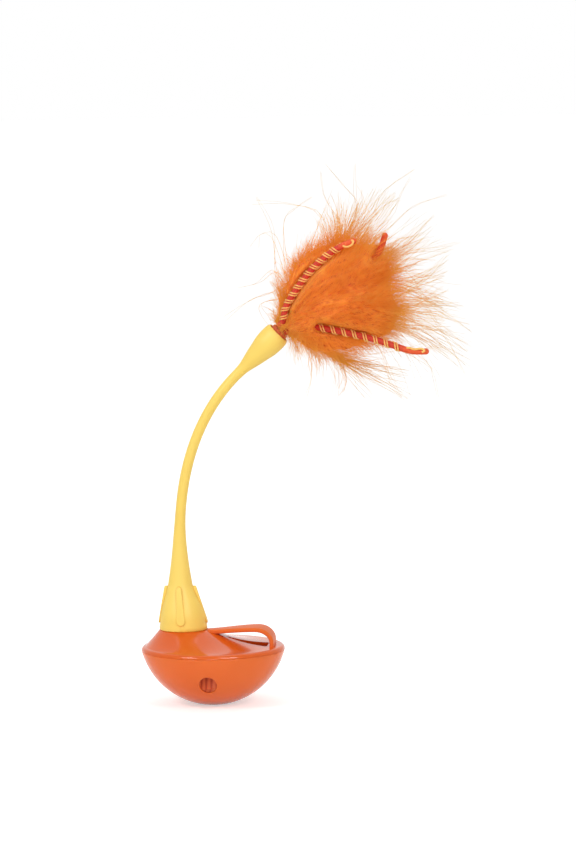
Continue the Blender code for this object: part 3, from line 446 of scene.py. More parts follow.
# The cutter of a treat hole flares outwards, so that it leaves a rounded lip
def holeTool(side):
    holeRadius, lip = bowl["holeRadius"], bowl["holeLip"]
    centre = Vector((0, 0, bowl["holeHeight"]))

    def surfaceY(spot):
        return sqrt(sphereRadius ** 2 - spot.x * spot.x - (spot.z - sphereZ) ** 2)

    rings = []
    for share in (-1.0, 0.0, 0.12, 0.25, 0.4, 0.55, 0.7, 0.85, 1.0):
        ring = []
        for across in ringPlaces(Vector(), alongY, alongX, 1, bowl["holeSteps"]):
            outer, corner = centre + across * (holeRadius + lip), centre + across * holeRadius
            start = Vector((outer.x, surfaceY(outer), outer.z))
            middle = Vector((corner.x, surfaceY(corner), corner.z))
            end = Vector((corner.x, surfaceY(corner) - lip * 1.2, corner.z))
            if share < 0:
                spot = start + (start - middle) * 0.6 + bowl["cutOutside"] * alongY
            else:
                spot = (1 - share) ** 2 * start + 2 * share * (1 - share) * middle + share ** 2 * end
                if share == 0:
                    spot += (start - middle) * 0.04
            ring.append(Vector((spot.x, side * spot.y, spot.z)))
        rings.append(ring)
    rings.append([Vector((spot.x, side * bowl["cutToY"], spot.z)) for spot in rings[-1]])
    return newPiece("holeTool", sweepRings(rings), glossOrange)


bowlPiece = place(buildBowl(), "base", "orange_gloss", "bowl_shell")
print("bowl:", len(bowlPiece.data.polygons), "faces")

# Cover with the strap handle
cover = {
    "gap": 0.3 * mm,
    "rimRound": 2.6 * mm,
    "neckOffset": 19.6 * mm,
    "neckRadius": 15.75 * mm,
    "neckRise": 10.7 * mm,
    "neckSideCurve": 1.05,
    "handleSideCurve": 2.1,
    "wall": 2.2 * mm,
    "skirtDepth": 3.4 * mm,
    "skirtWall": 1.6 * mm,
    "spoutRadius": 9 * mm,
    "spoutBore": 7.2 * mm,
    "spoutRise": 8.7 * mm,
    "spoutEdge": 0.4 * mm,
    "neckEdge": 0.5 * mm,
    "rows": 30,
    "underRows": 12,
    "rimSteps": 8,
    "steps": 160,
}
coverFootZ = rimZ + cover["gap"]
deckEdgeRadius = bowl["rimRadius"] - cover["rimRound"]
deckEdgeZ = coverFootZ + cover["rimRound"]
neckTopZ = deckEdgeZ + cover["neckRise"]
neckCentre = Vector((-cover["neckOffset"], 0, 0))


def flatRing(radius, height, centre=Vector()):
    return ringPlaces(Vector((centre.x, centre.y, height)), alongZ, alongX, radius, cover["steps"])


def deckRing(share, neckRadius, edgeRadius, topZ, edgeZ):
    ring = flatRing(neckRadius + (edgeRadius - neckRadius) * share, 0, neckCentre.lerp(Vector(), share))
    for i, spot in enumerate(ring):
        towardsHandle = (1 + cos(tau * i / cover["steps"])) / 2
        power = cover["neckSideCurve"] + (cover["handleSideCurve"] - cover["neckSideCurve"]) * towardsHandle
        spot.z = edgeZ + (topZ - edgeZ) * (1 - share) ** power
    return ring


def buildCover():
    wall, edge, rows, underRows = cover["wall"], cover["spoutEdge"], cover["rows"], cover["underRows"]
    bore, spoutRadius, spoutTopZ = cover["spoutBore"], cover["spoutRadius"], neckTopZ + cover["spoutRise"]
    spout = (
        (bore, neckTopZ - wall), (bore, spoutTopZ - edge), (bore + edge, spoutTopZ), (spoutRadius - edge, spoutTopZ),
        (spoutRadius, spoutTopZ - edge), (spoutRadius, neckTopZ), (cover["neckRadius"] - cover["neckEdge"], neckTopZ),
    )
    rings = [flatRing(radius, height, neckCentre) for radius, height in spout]
    topSizes = (cover["neckRadius"], deckEdgeRadius, neckTopZ, deckEdgeZ)
    rings += [deckRing((i + 0.6) / (rows + 0.6), *topSizes) for i in range(rows)]
    for i in range(cover["rimSteps"] + 1):
        angle = pi / 2 * i / cover["rimSteps"]
        radius = deckEdgeRadius + cover["rimRound"] * sin(angle)
        rings.append(flatRing(radius, coverFootZ + cover["rimRound"] * cos(angle)))
    skirtFootZ = coverFootZ - cover["skirtDepth"]
    skirtRadius = sqrt((sphereRadius - bowl["wall"]) ** 2 - (sphereZ - skirtFootZ) ** 2) - cover["gap"]
    skirtInner = skirtRadius - cover["skirtWall"]
    skirt = ((skirtRadius, coverFootZ), (skirtRadius, skirtFootZ), (skirtInner, skirtFootZ))
    rings += [flatRing(*sizes) for sizes in skirt]
    underSizes = (cover["neckRadius"] - wall, skirtInner, neckTopZ - wall, deckEdgeZ - wall)
    rings += [deckRing(1 - i / underRows, *underSizes) for i in range(underRows + 1)]
    made = newPiece("cover", sweepRings(rings, roundAgain=True), shadedCoverOrange, 50)
    cutAway(made, slotTool(), 50)
    return made


# The open slot in the deck under the strap: narrow at the neck, wide at the rim, with rounded far corners
slot = {"apexX": 6.65 * mm, "apexHalf": 0.8 * mm, "endX": 36.5 * mm, "endHalf": 8.65 * mm, "corner": 1.8 * mm}
slotHeights = (30 * mm, 47 * mm)


def slotTool():
    run, spread = slot["endX"] - slot["apexX"], slot["endHalf"] - slot["apexHalf"]
    corner, cornerX = slot["corner"], slot["endX"] - slot["corner"]
    outline = []
    for i in range(9):
        angle = (pi / 2 + math.atan2(spread, run)) * i / 8
        outline.append((cornerX + corner * cos(angle), slot["endHalf"] - corner * 1.2 + corner * sin(angle)))
    for i in range(9):
        x = cornerX - (cornerX - slot["apexX"]) * ((i + 1) / 10)
        outline.append((x, slot["apexHalf"] + spread * (x - slot["apexX"]) / run))
    outline += [(x, -y) for x, y in outline[::-1]]
    rings = [[Vector((x, y, height)) for x, y in outline] for height in slotHeights]
    return newPiece("slotTool", sweepRings(rings), glossOrange)


strap = {
    "thickness": 2.8 * mm,
    "rootWidth": 9 * mm,
    "footWidth": 21.5 * mm,
    "crownRise": 12.6 * mm,
    "footInset": 6.4 * mm,
    "bendRun": 10.5 * mm,
    "bendDrop": 8.5 * mm,
    "embed": 2.2 * mm,
    "edgeRound": 1.0 * mm,
    "footRise": 0.4 * mm,
    "rows": 24,
    "bendRows": 16,
    "cornerSteps": 8,
}
strapRootX = cover["neckRadius"] - cover["neckOffset"]
strapFootX = bowl["rimRadius"] - strap["footInset"] - strap["thickness"] / 2


def strapLine():
    thickness, run = strap["thickness"], strap["bendRun"]
    root = Vector((strapRootX - strap["embed"], 0, neckTopZ - (thickness + cover["gap"]) / 2))
    crown = Vector((strapFootX - run, 0, deckEdgeZ + strap["crownRise"] - thickness / 2))
    line = []
    for i in range(strap["rows"]):
        share = i / strap["rows"]
        ease = share * share * (3 - 2 * share)
        line.append(Vector((root.x + (crown.x - root.x) * share, 0, root.z + (crown.z - root.z) * ease)))
    for i in range(strap["bendRows"] + 1):
        angle = pi / 2 * i / strap["bendRows"]
        line.append(Vector((crown.x + run * sin(angle), 0, crown.z - strap["bendDrop"] * (1 - cos(angle)))))
    for height in (deckEdgeZ + strap["footRise"], deckEdgeZ - cover["wall"] / 2):
        line.append(Vector((strapFootX, 0, height)))
    return line


# A flat section: points round each corner and one more on each side
def strapSection(halfWidth):
    halfThick, edge, steps = strap["thickness"] / 2, strap["edgeRound"], strap["cornerSteps"]

    def corner(quarter, share):
        turn = pi / 2 * (quarter + share)
        signX, signY = ((1, 1), (-1, 1), (-1, -1), (1, -1))[quarter % 4]
        return signX * (halfWidth - edge) + edge * cos(turn), signY * (halfThick - edge) + edge * sin(turn)

    section = []
    for quarter in range(4):
        section += [corner(quarter, step / steps) for step in range(steps + 1)]
        (x, y), (nextX, nextY) = section[-1], corner(quarter + 1, 0)
        section.append(((x + nextX) / 2, (y + nextY) / 2))
    return section


def buildStrap():
    line = strapLine()
    footX = line[-1].x
    rings = []
    for i, spot in enumerate(line):
        along = (line[min(i + 1, len(line) - 1)] - line[max(i - 1, 0)]).normalized()
        up = along.cross(alongY)
        share = min(1, max(0, (spot.x - strapRootX) / (footX - strap["bendRun"] / 2 - strapRootX)))
        halfWidth = (strap["rootWidth"] + (strap["footWidth"] - strap["rootWidth"]) * share) / 2
        rings.append([spot + alongY * x + up * y for x, y in strapSection(halfWidth)])
    return newPiece("strapHandle", sweepRings(rings), strapOrange, 50)


coverPiece = place(buildCover(), "base", "orange_gloss", "top_cover")
strapPiece = place(buildStrap(), "base", "orange_gloss", "top_cover")
print("cover:", len(coverPiece.data.polygons), "faces, strap:", len(strapPiece.data.polygons))

# Wand: one flexible stem from the collar to the cup, in three lengths split halfway between the joints
wand = {
    "collarRadius": 15.8 * mm,
    "footRound": 0.3 * mm,
    "bandHeight": 3.2 * mm,
    "bandRound": 0.6 * mm,
    "bandGap": 1.2 * mm,
    "bandStep": 0.4 * mm,
    "collarLength": 29.6 * mm,
    "collarTop": 8.2 * mm,
    "setBack": 1.7 * mm,
    "bow": 0.16,
    "stemRadius": 3.4 * mm,
    "taperLength": 54.5 * mm,
    "bendStart": 48.6 * mm,
    "bendLength": 130 * mm,
    "bendPower": 1.5,
    "tipLean": radians(45.4),
    "cupLength": 40 * mm,
    "cupRadius": 8.95 * mm,
    "lipWall": 1.2 * mm,
    "seatDepth": 3 * mm,
    "boreRadius": 12.0 * mm,
    "boreDepth": 11.8 * mm,
    "boreCentre": 0.4,
    "joints": (64 * mm, 113.5 * mm, 163 * mm),
    "blendHalf": 20 * mm,
    "rowHeight": 1.6 * mm,
    "steps": 48,
}
cupShape = (
    (0.0, 0.38), (0.10, 0.40), (0.20, 0.455), (0.33, 0.60), (0.45, 0.73), (0.55, 0.82), (0.68, 0.95),
    (0.78, 0.995), (0.88, 1.0), (0.95, 0.975), (1.0, 0.905),
)
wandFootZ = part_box("wand_collar")[0].z
cupStart = wand["bendStart"] + wand["bendLength"]
lipPlace = cupStart + wand["cupLength"]


def wandLean(distance):
    if distance < wand["collarLength"]:
        peak = pi * wand["setBack"] / (2 * wand["collarLength"])
        return -peak * sin(pi * distance / wand["collarLength"])
    bend = (distance - wand["bendStart"]) / wand["bendLength"]
    return wand["tipLean"] * min(1, max(0, bend)) ** wand["bendPower"]


def wandAlong(distance):
    lean = wandLean(distance)
    return Vector((sin(lean), 0, cos(lean)))


def wandPoint(distance):
    pieces = 200
    spot = Vector((-cover["neckOffset"], 0, wandFootZ))
    for i in range(pieces):
        spot += wandAlong((i + 0.5) * distance / pieces) * (distance / pieces)
    return spot


def cupRadiusAt(share):
    for i in range(len(cupShape) - 1):
        if share <= cupShape[i + 1][0]:
            before = cupShape[max(i - 1, 0)]
            (low, narrow), (high, wide) = cupShape[i], cupShape[i + 1]
            after = cupShape[min(i + 2, len(cupShape) - 1)]
            t = (share - low) / (high - low)
            slopeLow = (wide - before[1]) / (high - before[0]) * (high - low)
            slopeHigh = (after[1] - narrow) / (after[0] - low) * (high - low)
            return (
                (2 * t ** 3 - 3 * t ** 2 + 1) * narrow + (t ** 3 - 2 * t ** 2 + t) * slopeLow
                + (3 * t ** 2 - 2 * t ** 3) * wide + (t ** 3 - t ** 2) * slopeHigh
            )
    return cupShape[-1][1]


def wandRadius(distance):
    if distance < wand["bandHeight"]:
        return wand["collarRadius"]
    if distance < wand["collarLength"]:
        share = (distance - wand["bandHeight"]) / (wand["collarLength"] - wand["bandHeight"])
        top = wand["collarRadius"] - wand["bandStep"]
        bow = 1 + wand["bow"] * sin(pi * share) * (1 - share)
        return (top + (wand["collarTop"] - top) * share) * bow
    if distance < cupStart:
        left = max(0, 1 - (distance - wand["collarLength"]) / wand["taperLength"])
        return wand["stemRadius"] + (wand["collarTop"] - wand["stemRadius"]) * left ** 2
    return wand["cupRadius"] * cupRadiusAt(min(1, (distance - cupStart) / wand["cupLength"]))


def wandRing(distance, radius):
    return ringPlaces(wandPoint(distance), wandAlong(distance), alongY, radius, wand["steps"])


rib = {
    "start": 4.1 * mm,
    "length": 24.9 * mm,
    "foot": 5.8 * mm,
    "top": 3.4 * mm,
    "reachFoot": 16.5 * mm,
    "reachTop": 10.4 * mm,
    "root": 4 * mm,
    "bevel": 0.55 * mm,
    "steps": 13,
}


def gripRib(shape, angle):
    outward, across = Vector((cos(angle), sin(angle), 0)), Vector((-sin(angle), cos(angle), 0))
    foot, top = rib["foot"] / 2, rib["top"] / 2
    turns = [pi * i / rib["steps"] for i in range(rib["steps"] + 1)]
    outline = [(foot * cos(pi + turn), foot * (1 + sin(pi + turn))) for turn in turns]
    outline += [(top * cos(turn), rib["length"] - top * (1 - sin(turn))) for turn in turns]
    verts = []
    for offset, rise in outline:
        reach = rib["reachFoot"] + (rib["reachTop"] - rib["reachFoot"]) * rise / rib["length"]
        verts.append(shape.verts.new(wandPoint(rib["start"] + rise) + outward * reach + across * offset))
    grown = bmesh.ops.extrude_face_region(shape, geom=[shape.faces.new(verts)])
    moved = [item for item in grown["geom"] if isinstance(item, bmesh.types.BMVert)]
    bmesh.ops.translate(shape, verts=moved, vec=-rib["root"] * outward)
    rimEdges = [edge for edge in shape.edges if set(edge.verts) <= set(verts)]
    bmesh.ops.bevel(
        shape, geom=rimEdges, offset=rib["bevel"], offset_type="OFFSET", segments=4, profile=0.5, affect="EDGES",
        material=-1
    )


def collarFootRings():
    bore, depth, radius = wand["boreRadius"], wand["boreDepth"], wand["collarRadius"]
    rings = [
        ringPlaces(wandPoint(0) + height * alongZ, alongZ, alongY, size, wand["steps"])
        for height, size in ((depth, bore * wand["boreCentre"]), (depth, bore), (0, bore))
    ]
    rings.append(wandRing(0, radius - wand["footRound"]))
    rings.append(wandRing(wand["footRound"], radius))
    rings.append(wandRing(wand["bandHeight"] - wand["bandRound"], radius))
    return rings


def cupMouthRings(end):
    outer, mouth = wandRadius(end), wand["cupRadius"] * cupShape[-1][1] - wand["lipWall"]
    middle, half = (outer + mouth) / 2, (outer - mouth) / 2
    turns = [pi * i / 6 for i in range(7)]
    rings = [wandRing(end - half + half * sin(turn), middle + half * cos(turn)) for turn in turns]
    for angle in map(radians, (90, 70, 45, 20)):
        rings.append(wandRing(end - wand["seatDepth"] - mouth * cos(angle), mouth * sin(angle)))
    return rings


def buildWandLength(name, start, end):
    rings = [] if start else collarFootRings()
    first = start or wand["bandHeight"] + wand["bandGap"]
    rows = round((end - first) / wand["rowHeight"])
    for i in range(rows + 1):
        distance = first + (end - first) * i / rows
        rings.append(wandRing(distance, wandRadius(distance)))
    if end == lipPlace:
        rings[-1:] = cupMouthRings(end)
    shape = sweepRings(rings)
    for number in range(0 if start else 4):
        gripRib(shape, tau * number / 4)
    return newPiece(name, shape, softYellow, 45)


bendPlace, swayPlace, tipPlace = wand["joints"]
lowSplit, highSplit = (bendPlace + swayPlace) / 2, (swayPlace + tipPlace) / 2
lengths = (
    ("wandLow", 0, lowSplit, bendPlace, "collar", "stem_middle", "wand_collar", "stem_middle"),
    ("wandMiddle", lowSplit, highSplit, swayPlace, "stem_middle", "stem_upper", "stem_middle", "stem_upper"),
    ("wandUpper", highSplit, lipPlace, tipPlace, "stem_upper", "cup", "stem_upper", "tip_cup"),
)
for name, start, end, jointPlace, near, far, *replaced in lengths:
    piece = buildWandLength(name, start, end)
    half = wand["blendHalf"]
    tuple(wandPoint(jointPlace - half))
    tuple(wandPoint(jointPlace + half))
    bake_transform(piece)
    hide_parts(*replaced)
print("wand: 3 lengths")

# Tassel
lip = wandPoint(lipPlace)
tasselAxis = wandAlong(lipPlace)
tasselUp = Vector((-tasselAxis.z, 0, tasselAxis.x))
tasselFront = Vector((0, -1, 0))
tasselReach = 0.1


def rootPoint(degrees, radius, height):
    angle = radians(degrees)
    return lip + radius * (cos(angle) * tasselUp + sin(angle) * tasselFront) + height * tasselAxis


def smoothRoute(points, count):
    steps = 24
    chain = [2 * points[0] - points[1]] + list(points) + [2 * points[-1] - points[-2]]
    dense = []
    for a, b, c, d in zip(chain, chain[1:], chain[2:], chain[3:]):
        for i in range(steps):
            t = i / steps
            bend = (2 * a - 5 * b + 4 * c - d) * t ** 2 + (3 * b - a - 3 * c + d) * t ** 3
            dense.append((2 * b + (c - a) * t + bend) / 2)
    dense.append(points[-1])
    lengths = [0]
    for near, far in zip(dense, dense[1:]):
        lengths.append(lengths[-1] + (far - near).length)
    route = []
    at = 0
    for i in range(count):
        wanted = lengths[-1] * i / (count - 1)
        while at < len(dense) - 2 and lengths[at + 1] < wanted:
            at += 1
        part = (wanted - lengths[at]) / (lengths[at + 1] - lengths[at])
        route.append(dense[at].lerp(dense[at + 1], min(1, part)))
    return route, lengths[-1]


def steadyFrames(route, firstSide):
    made = []
    side = Vector(firstSide)
    for i in range(len(route)):
        along = (route[min(i + 1, len(route) - 1)] - route[max(i - 1, 0)]).normalized()
        side = (side - side.dot(along) * along).normalized()
        made.append((along, side, along.cross(side)))
    return made


# The binding that gathers every root: a seated ball with a wound face
binding = {
    "radius": 6.3 * mm,
    "faceHeight": 4.5 * mm,
    "turnRise": 0.75 * mm,
    "taper": 0.4 * mm,
    "dome": 1 * mm,
    "turnShape": ((0.0, -0.15), (0.2, 0.0), (0.4, 0.0), (0.55, -0.15)),
    "steps": 40,
}


def buildBinding():
    radius, top = binding["radius"], binding["faceHeight"]
    pivot = lip - wand["seatDepth"] * tasselAxis
    rings = []

    def addRing(height, size):
        rings.append(ringPlaces(pivot + tasselAxis * height, tasselAxis, tasselUp, size, binding["steps"]))

    for angle in map(radians, (8, 25, 45, 65, 85)):
        addRing(-radius * cos(angle), radius * sin(angle))
    height = 0
    while height < top:
        taper = binding["taper"] * height / top
        for rise, grow in binding["turnShape"]:
            addRing(height + rise * mm, radius - taper + grow * mm)
        height += binding["turnRise"]
    for share in (0.8, 0.5, 0.2):
        addRing(top + (1 - share) * binding["dome"], radius * share)
    return newPiece("tasselBinding", sweepRings(rings), bindingYarn, 60)


place(buildBinding(), "tassel", "binding", "tassel_binding")

# Cords: the angle of the root round the tassel, the rise of one turn of thread, the plain tip, and the route
cord = {
    "circle": 3.7 * mm,
    "radius": 1.85 * mm,
    "swollen": 2.05 * mm,
    "thread": 0.44 * mm,
    "helix": 2.36 * mm,
    "pairStep": 1.75 * mm,
    "threadStart": 4.5 * mm,
    "rootHeight": 1.8 * mm,
    "rows": 120,
    "swellRows": 12,
    "sides": 20,
    "threadSides": 10,
    "turnSteps": 28,
    "tailThickness": 1.6,
}
cordRoutes = {
    "cord_upper": (30, 6.0 * mm, 9 * mm, (
        (0.052, -0.026, 0.170), (0.112, -0.045, 0.268), (0.180, -0.060, 0.362), (0.255, -0.080, 0.445),
        (0.340, -0.095, 0.518), (0.424, -0.108, 0.572), (0.508, -0.118, 0.606),
    )),
    "cord_lower": (150, 7.3 * mm, 16 * mm, (
        (0.100, -0.040, 0.030), (0.175, -0.068, 0.045), (0.264, -0.094, 0.040), (0.390, -0.100, 0.020),
        (0.523, -0.104, -0.009), (0.655, -0.106, -0.044), (0.787, -0.104, -0.088), (0.882, -0.102, -0.117),
        (0.974, -0.100, -0.120),
    )),
    "cord_back": (270, 7.3 * mm, 28 * mm, (
        (0.120, 0.070, 0.145), (0.250, 0.105, 0.280), (0.390, 0.128, 0.385), (0.530, 0.120, 0.440),
        (0.625, 0.095, 0.478), (0.672, 0.082, 0.540), (0.702, 0.078, 0.628),
    )),
}
cordLines = {}


def roundedEnd(place, outward, radius, degrees):
    spots = [place + outward * radius * cos(radians(angle)) for angle in degrees]
    return spots, [radius * sin(radians(angle)) for angle in degrees]


# The mask of the bare tip, where the core has no painted shade from the thread
def paintTip(core, route, plainShare):
    away = np.linalg.norm(vertexPlaces(core)[:, None] - np.array(route, np.float32)[None], axis=2)
    shares = np.argmin(away, axis=1) / (len(route) - 1)
    values = np.clip((shares - (1 - plainShare)) / (0.5 * plainShare) + 0.5, 0, 1)
    paintVertices(core, "plainTip", "FLOAT", "value", values)


def buildCord(name, degrees, pitch, plainTip, spots):
    root = rootPoint(degrees, cord["circle"], cord["rootHeight"] + cord["radius"])
    start = root + cord["radius"] * 2 * tasselAxis
    route, length = smoothRoute([root, start] + [lip + tasselReach * Vector(spot) for spot in spots], cord["rows"])
    cordLines[name] = route
    first, firstRadii = roundedEnd(route[0], (route[0] - route[1]).normalized(), cord["radius"], (12, 30, 50, 70))
    last, lastRadii = roundedEnd(route[-1], (route[-1] - route[-2]).normalized(), cord["swollen"], (70, 50, 30, 12))
    swell = cord["swollen"] - cord["radius"]
    body = [cord["radius"] + swell * min(1, i / cord["swellRows"]) for i in range(len(route))]
    strand = (first + route + last, firstRadii + body + lastRadii)
    core = curvePiece(name + "Core", [strand], cord["sides"], cordYarn)
    paintTip(core, route, plainTip / length)
    place(core, name, "red_cord", name + "_core")
    sides = steadyFrames(route, tasselUp)
    wound = length - cord["threadStart"] - plainTip
    turns = wound / pitch
    count = round(turns * cord["turnSteps"])
    for letter, shift in (("a", 0), ("b", cord["pairStep"])):
        helix = []
        for i in range(count + 1):
            distance = cord["threadStart"] + shift + (wound - cord["pairStep"]) * i / count
            spot = min(len(route) - 1.001, distance / length * (len(route) - 1))
            low = int(spot)
            _, side, other = sides[low]
            angle = tau * turns * i / count
            away = cos(angle) * side + sin(angle) * other
            helix.append(route[low].lerp(route[low + 1], spot - low) + cord["helix"] * away)
        strand = (helix, [cord["thread"]] * len(helix))
        thread = curvePiece(f"{name}Thread{letter.upper()}", [strand], cord["threadSides"], threadYarn)
        place(thread, name, "cream_thread", f"{name}_thread_{letter}")
    if name in threadTails:
        buildTail(name, route, plainTip / length, helix[-1])
    print(f"{name}: {length * 1000:.1f} mm")


# The loose end of the thread that curls round a cord's tip: shares of the plain tip, and turns to the front and up
threadTails = {
    "cord_upper": ((0.35, 0.95, -0.5), (0.7, 0.9, -0.9), (0.98, 0.9, -0.7), (1.08, 0.9, 0.1), (0.9, 1.0, 0.6)),
    "cord_lower": ((0.3, 0.7, 0.8), (0.55, 0.9, 0.7), (0.8, 0.9, 0.9), (0.98, 1.0, 0.4), (0.85, 1.2, -0.1)),
}


def buildTail(name, route, plainShare, begin):
    spots = [begin]
    for share, front, up in threadTails[name]:
        at = min(1, 1 - plainShare + plainShare * share) * (len(route) - 1.001)
        extra = max(0, share - 1) * plainShare * (len(route) - 1) * (route[-1] - route[-2])
        spots.append(route[int(at)] + extra + cord["helix"] * (front * tasselFront + up * alongZ))
    line, _ = smoothRoute(spots, 40)
    strand = (line, [cord["thread"] * cord["tailThickness"]] * len(line))
    thread = curvePiece(name + "ThreadTail", [strand], cord["threadSides"], threadYarn)
    return place(thread, name, "cream_thread", name + "_thread_b")


for name, (degrees, pitch, plainTip, spots) in cordRoutes.items():
    buildCord(name, degrees, pitch, plainTip, spots)

# Plumes: the angle and share of the root, and the quill's middle and tip as shares of the tassel's reach
plumeRoutes = {
    "plume_crown": (352, 1.0, (0.150, 0.060, 0.420), (0.360, 0.120, 0.940)),
    "plume_upper": (0, 0.0, (0.430, -0.010, 0.400), (1.000, -0.040, 0.800)),
    "plume_right": (185, 1.0, (0.480, 0.080, 0.160), (1.140, 0.140, 0.160)),
    "plume_under": (212, 1.0, (0.340, 0.120, -0.160), (0.840, 0.160, -0.460)),
    "plume_back": (239, 1.0, (0.320, 0.250, 0.040), (0.600, 0.500, 0.000)),
    "plume_left": (318, 1.0, (0.080, 0.180, 0.300), (0.100, 0.400, 0.620)),
    "plume_front": (90, 1.0, (0.300, -0.240, 0.220), (0.640, -0.480, 0.280)),
}
puff = {
    "share": 0.92,
    "depth": 28 * mm,
    "frontDepth": 22 * mm,
    "fullness": 1.9,
    "rings": 72,
    "steps": 150,
    "swell": 2.8 * mm,
    "lock": 1.5 * mm,
    "groove": 5.6 * mm,
    "paleFrom": 15 * mm,
    "paleOver": 60 * mm,
}
down = {
    "rootCircle": 5.0 * mm,
    "rootRun": 3 * mm,
    "quill": 0.32 * mm,
    "shaftShare": 0.56,
    "shafts": 20,
    "fuzz": 8600,
    "fuzzLength": 12 * mm,
    "fuzzRadius": 0.085 * mm,
    "fuzzBarbules": 2,
    "tufts": 230,
    "thinFrom": radians(238),
    "thinTo": radians(345),
    "tuftBarbs": 12,
    "singles": 1100,
    "barbSteps": 8,
    "barbRadius": 0.17 * mm,
    "barbules": 6,
    "barbuleLength": 2.4 * mm,
    "barbuleRadius": 0.06 * mm,
    "curl": 2.4 * mm,
    "wispSteps": 14,
    "wispBarbules": 14,
    "clear": 2.6 * mm,
    "cupClear": 11 * mm,
    "cupHeight": 1 * mm,
}
goldenAngle = 2.399963
# The down's dense outline seen along Y, and its long wisps, in millimetres from the lip: forwards and upwards
puffCentre = (42, 25)
puffOutline = (
    (3, 2), (1, 16), (5, 30), (12.5, 43), (22, 52.5), (38, 60), (56, 62), (68, 58), (74, 47),
    (77.5, 36), (76, 24.5), (79, 11), (74, 0), (60, -8), (40, -13), (22, -13), (9, -7),
)
wisps = (
    ((41.7, 67.8), (33.4, 91.2), (28.4, 113.0)), ((57.1, 69.7), (55.3, 85.7), (55.0, 95.1)),
    ((50.5, 75.1), (51.8, 91.1), (51.0, 110.4)), ((27.0, 59.1), (27.8, 72.5), (33.3, 87.1)),
    ((50.6, 80.4), (45.4, 93.8), (30.3, 109.9)), ((5.2, 69.9), (12.0, 80.6), (24.0, 88.8)),
    ((0.1, 39.2), (-2.9, 67.3), (-14.3, 87.3)), ((29.2, 75.2), (9.3, 83.2), (-13.9, 87.3)),
    ((-4.8, 24.6), (-20.8, 21.3), (-35.6, 8.7)), ((-3.3, 37.9), (-14.0, 32.6), (-26.0, 28.7)),
    ((-1.7, 59.3), (-10.2, 64.6), (-15.7, 56.7)), ((71.7, 68.3), (89.2, 81.6), (109.9, 89.5)),
    ((70.4, 73.7), (79.9, 88.3), (88.1, 100.3)), ((78.2, 60.3), (84.9, 64.2), (93.6, 63.5)),
    ((78.0, 45.6), (90.0, 48.2), (100.7, 47.5)), ((79.2, 32.2), (102.9, 16.1), (126.0, 1.3)),
    ((84.4, 25.5), (109.3, -1.3), (119.0, -24.0)), ((65.1, -21.1), (72.9, -31.8), (78.1, -42.5)),
    ((43.8, -21.0), (54.3, -34.4), (62.2, -39.8)), ((19.9, -18.2), (18.6, -31.6), (16.9, -42.3)),
    ((94.4, -17.2), (101.0, -27.9), (104.7, -42.6)), ((83.9, -11.8), (94.5, -11.9), (110.5, -9.3)),
    ((76.6, 37.6), (92.6, 40.2), (109.8, 33.4)), ((66.5, 80.3), (71.9, 85.7), (81.2, 86.3)),
    ((58.4, 73.7), (70.7, 91.0), (89.5, 105.6)), ((-10.2, 19.3), (-7.0, 8.6), (-5.1, 4.6)),
    ((34.6, -11.6), (43.7, -27.7), (56.8, -42.4)), ((97.5, 12.1), (113.4, 8.1), (126.4, 5.3)),
)
# The strands keep 2 mm inside a box round the solids that is larger than theirs by 3% of each side and 10 mm
margin = 2 * mm
lowestCorner = [low - 0.03 * (high - low) - 10 * mm + margin for low, high in zip(*cadBox)]
highestCorner = [high + 0.03 * (high - low) + 10 * mm - margin for low, high in zip(*cadBox)]


def insideBox(spot):
    return all(low < value < high for low, value, high in zip(lowestCorner, spot, highestCorner))


def puffRadii(count):
    radii = []
    for i in range(count):
        angle = tau * i / count
        ray = Vector((cos(angle), sin(angle)))
        best = 0
        for (ax, ay), (bx, by) in zip(puffOutline, puffOutline[1:] + puffOutline[:1]):
            a, b = Vector((ax - puffCentre[0], ay - puffCentre[1])), Vector((bx - puffCentre[0], by - puffCentre[1]))
            edge = b - a
            cross = ray.x * edge.y - ray.y * edge.x
            if abs(cross) < 1e-9:
                continue
            far = (a.x * edge.y - a.y * edge.x) / cross
            along = (a.x * ray.y - a.y * ray.x) / cross
            if far > 0 and 0 <= along <= 1:
                best = max(best, far)
        radii.append(best)
    return [(radii[i - 1] + 2 * radii[i] + radii[(i + 1) % count]) / 4 for i in range(count)]


puffReach = puffRadii(90)


def puffPlace(angle, share, depth):
    reach = puffReach[int(angle / tau * len(puffReach)) % len(puffReach)] * share
    forwards, upwards = puffCentre[0] + reach * cos(angle), puffCentre[1] + reach * sin(angle)
    return lip + Vector((forwards * mm, depth, upwards * mm))


# The photograph's view: its angles, and the middle of the picture from a point on the bowl's axis
view = {
    "azimuth": 5.0,
    "elevation": 6.5,
    "roll": 0.8,
    "right": 51.53 * mm,
    "up": 143.10 * mm,
    "base": 36 * mm,
    "tall": 0.5728,
    "lens": 200.0,
    "sensor": 36.0,
}


def viewAxes():
    turn, rise = radians(view["azimuth"]), radians(view["elevation"])
    right = Vector((cos(turn), sin(turn), 0))
    back = Vector((sin(turn) * cos(rise), -cos(turn) * cos(rise), sin(rise)))
    return right, back.cross(right), back


frontRight, frontUp, frontBack = viewAxes()
# The stretches of cord that lie bare in front of the down, seen from the front
bareCords = []
for name, first in (("cord_upper", 0.06), ("cord_lower", 0.27), ("cord_back", 0.84)):
    route = cordLines[name]
    for spot in route[int(first * len(route))::2]:
        bareCords.append((spot.dot(frontRight), spot.dot(frontUp), spot.dot(frontBack)))
bareCords = np.array(bareCords)


def cordAhead(spot):
    across, up = spot.dot(frontRight), spot.dot(frontUp)
    gaps = np.hypot(bareCords[:, 0] - across, bareCords[:, 1] - up)
    nearest = int(np.argmin(gaps))
    return gaps[nearest], bareCords[nearest, 2]


def hidesCord(spot):
    gap, depth = cordAhead(spot)
    return gap < down["clear"] and spot.dot(frontBack) > depth - cord["radius"]


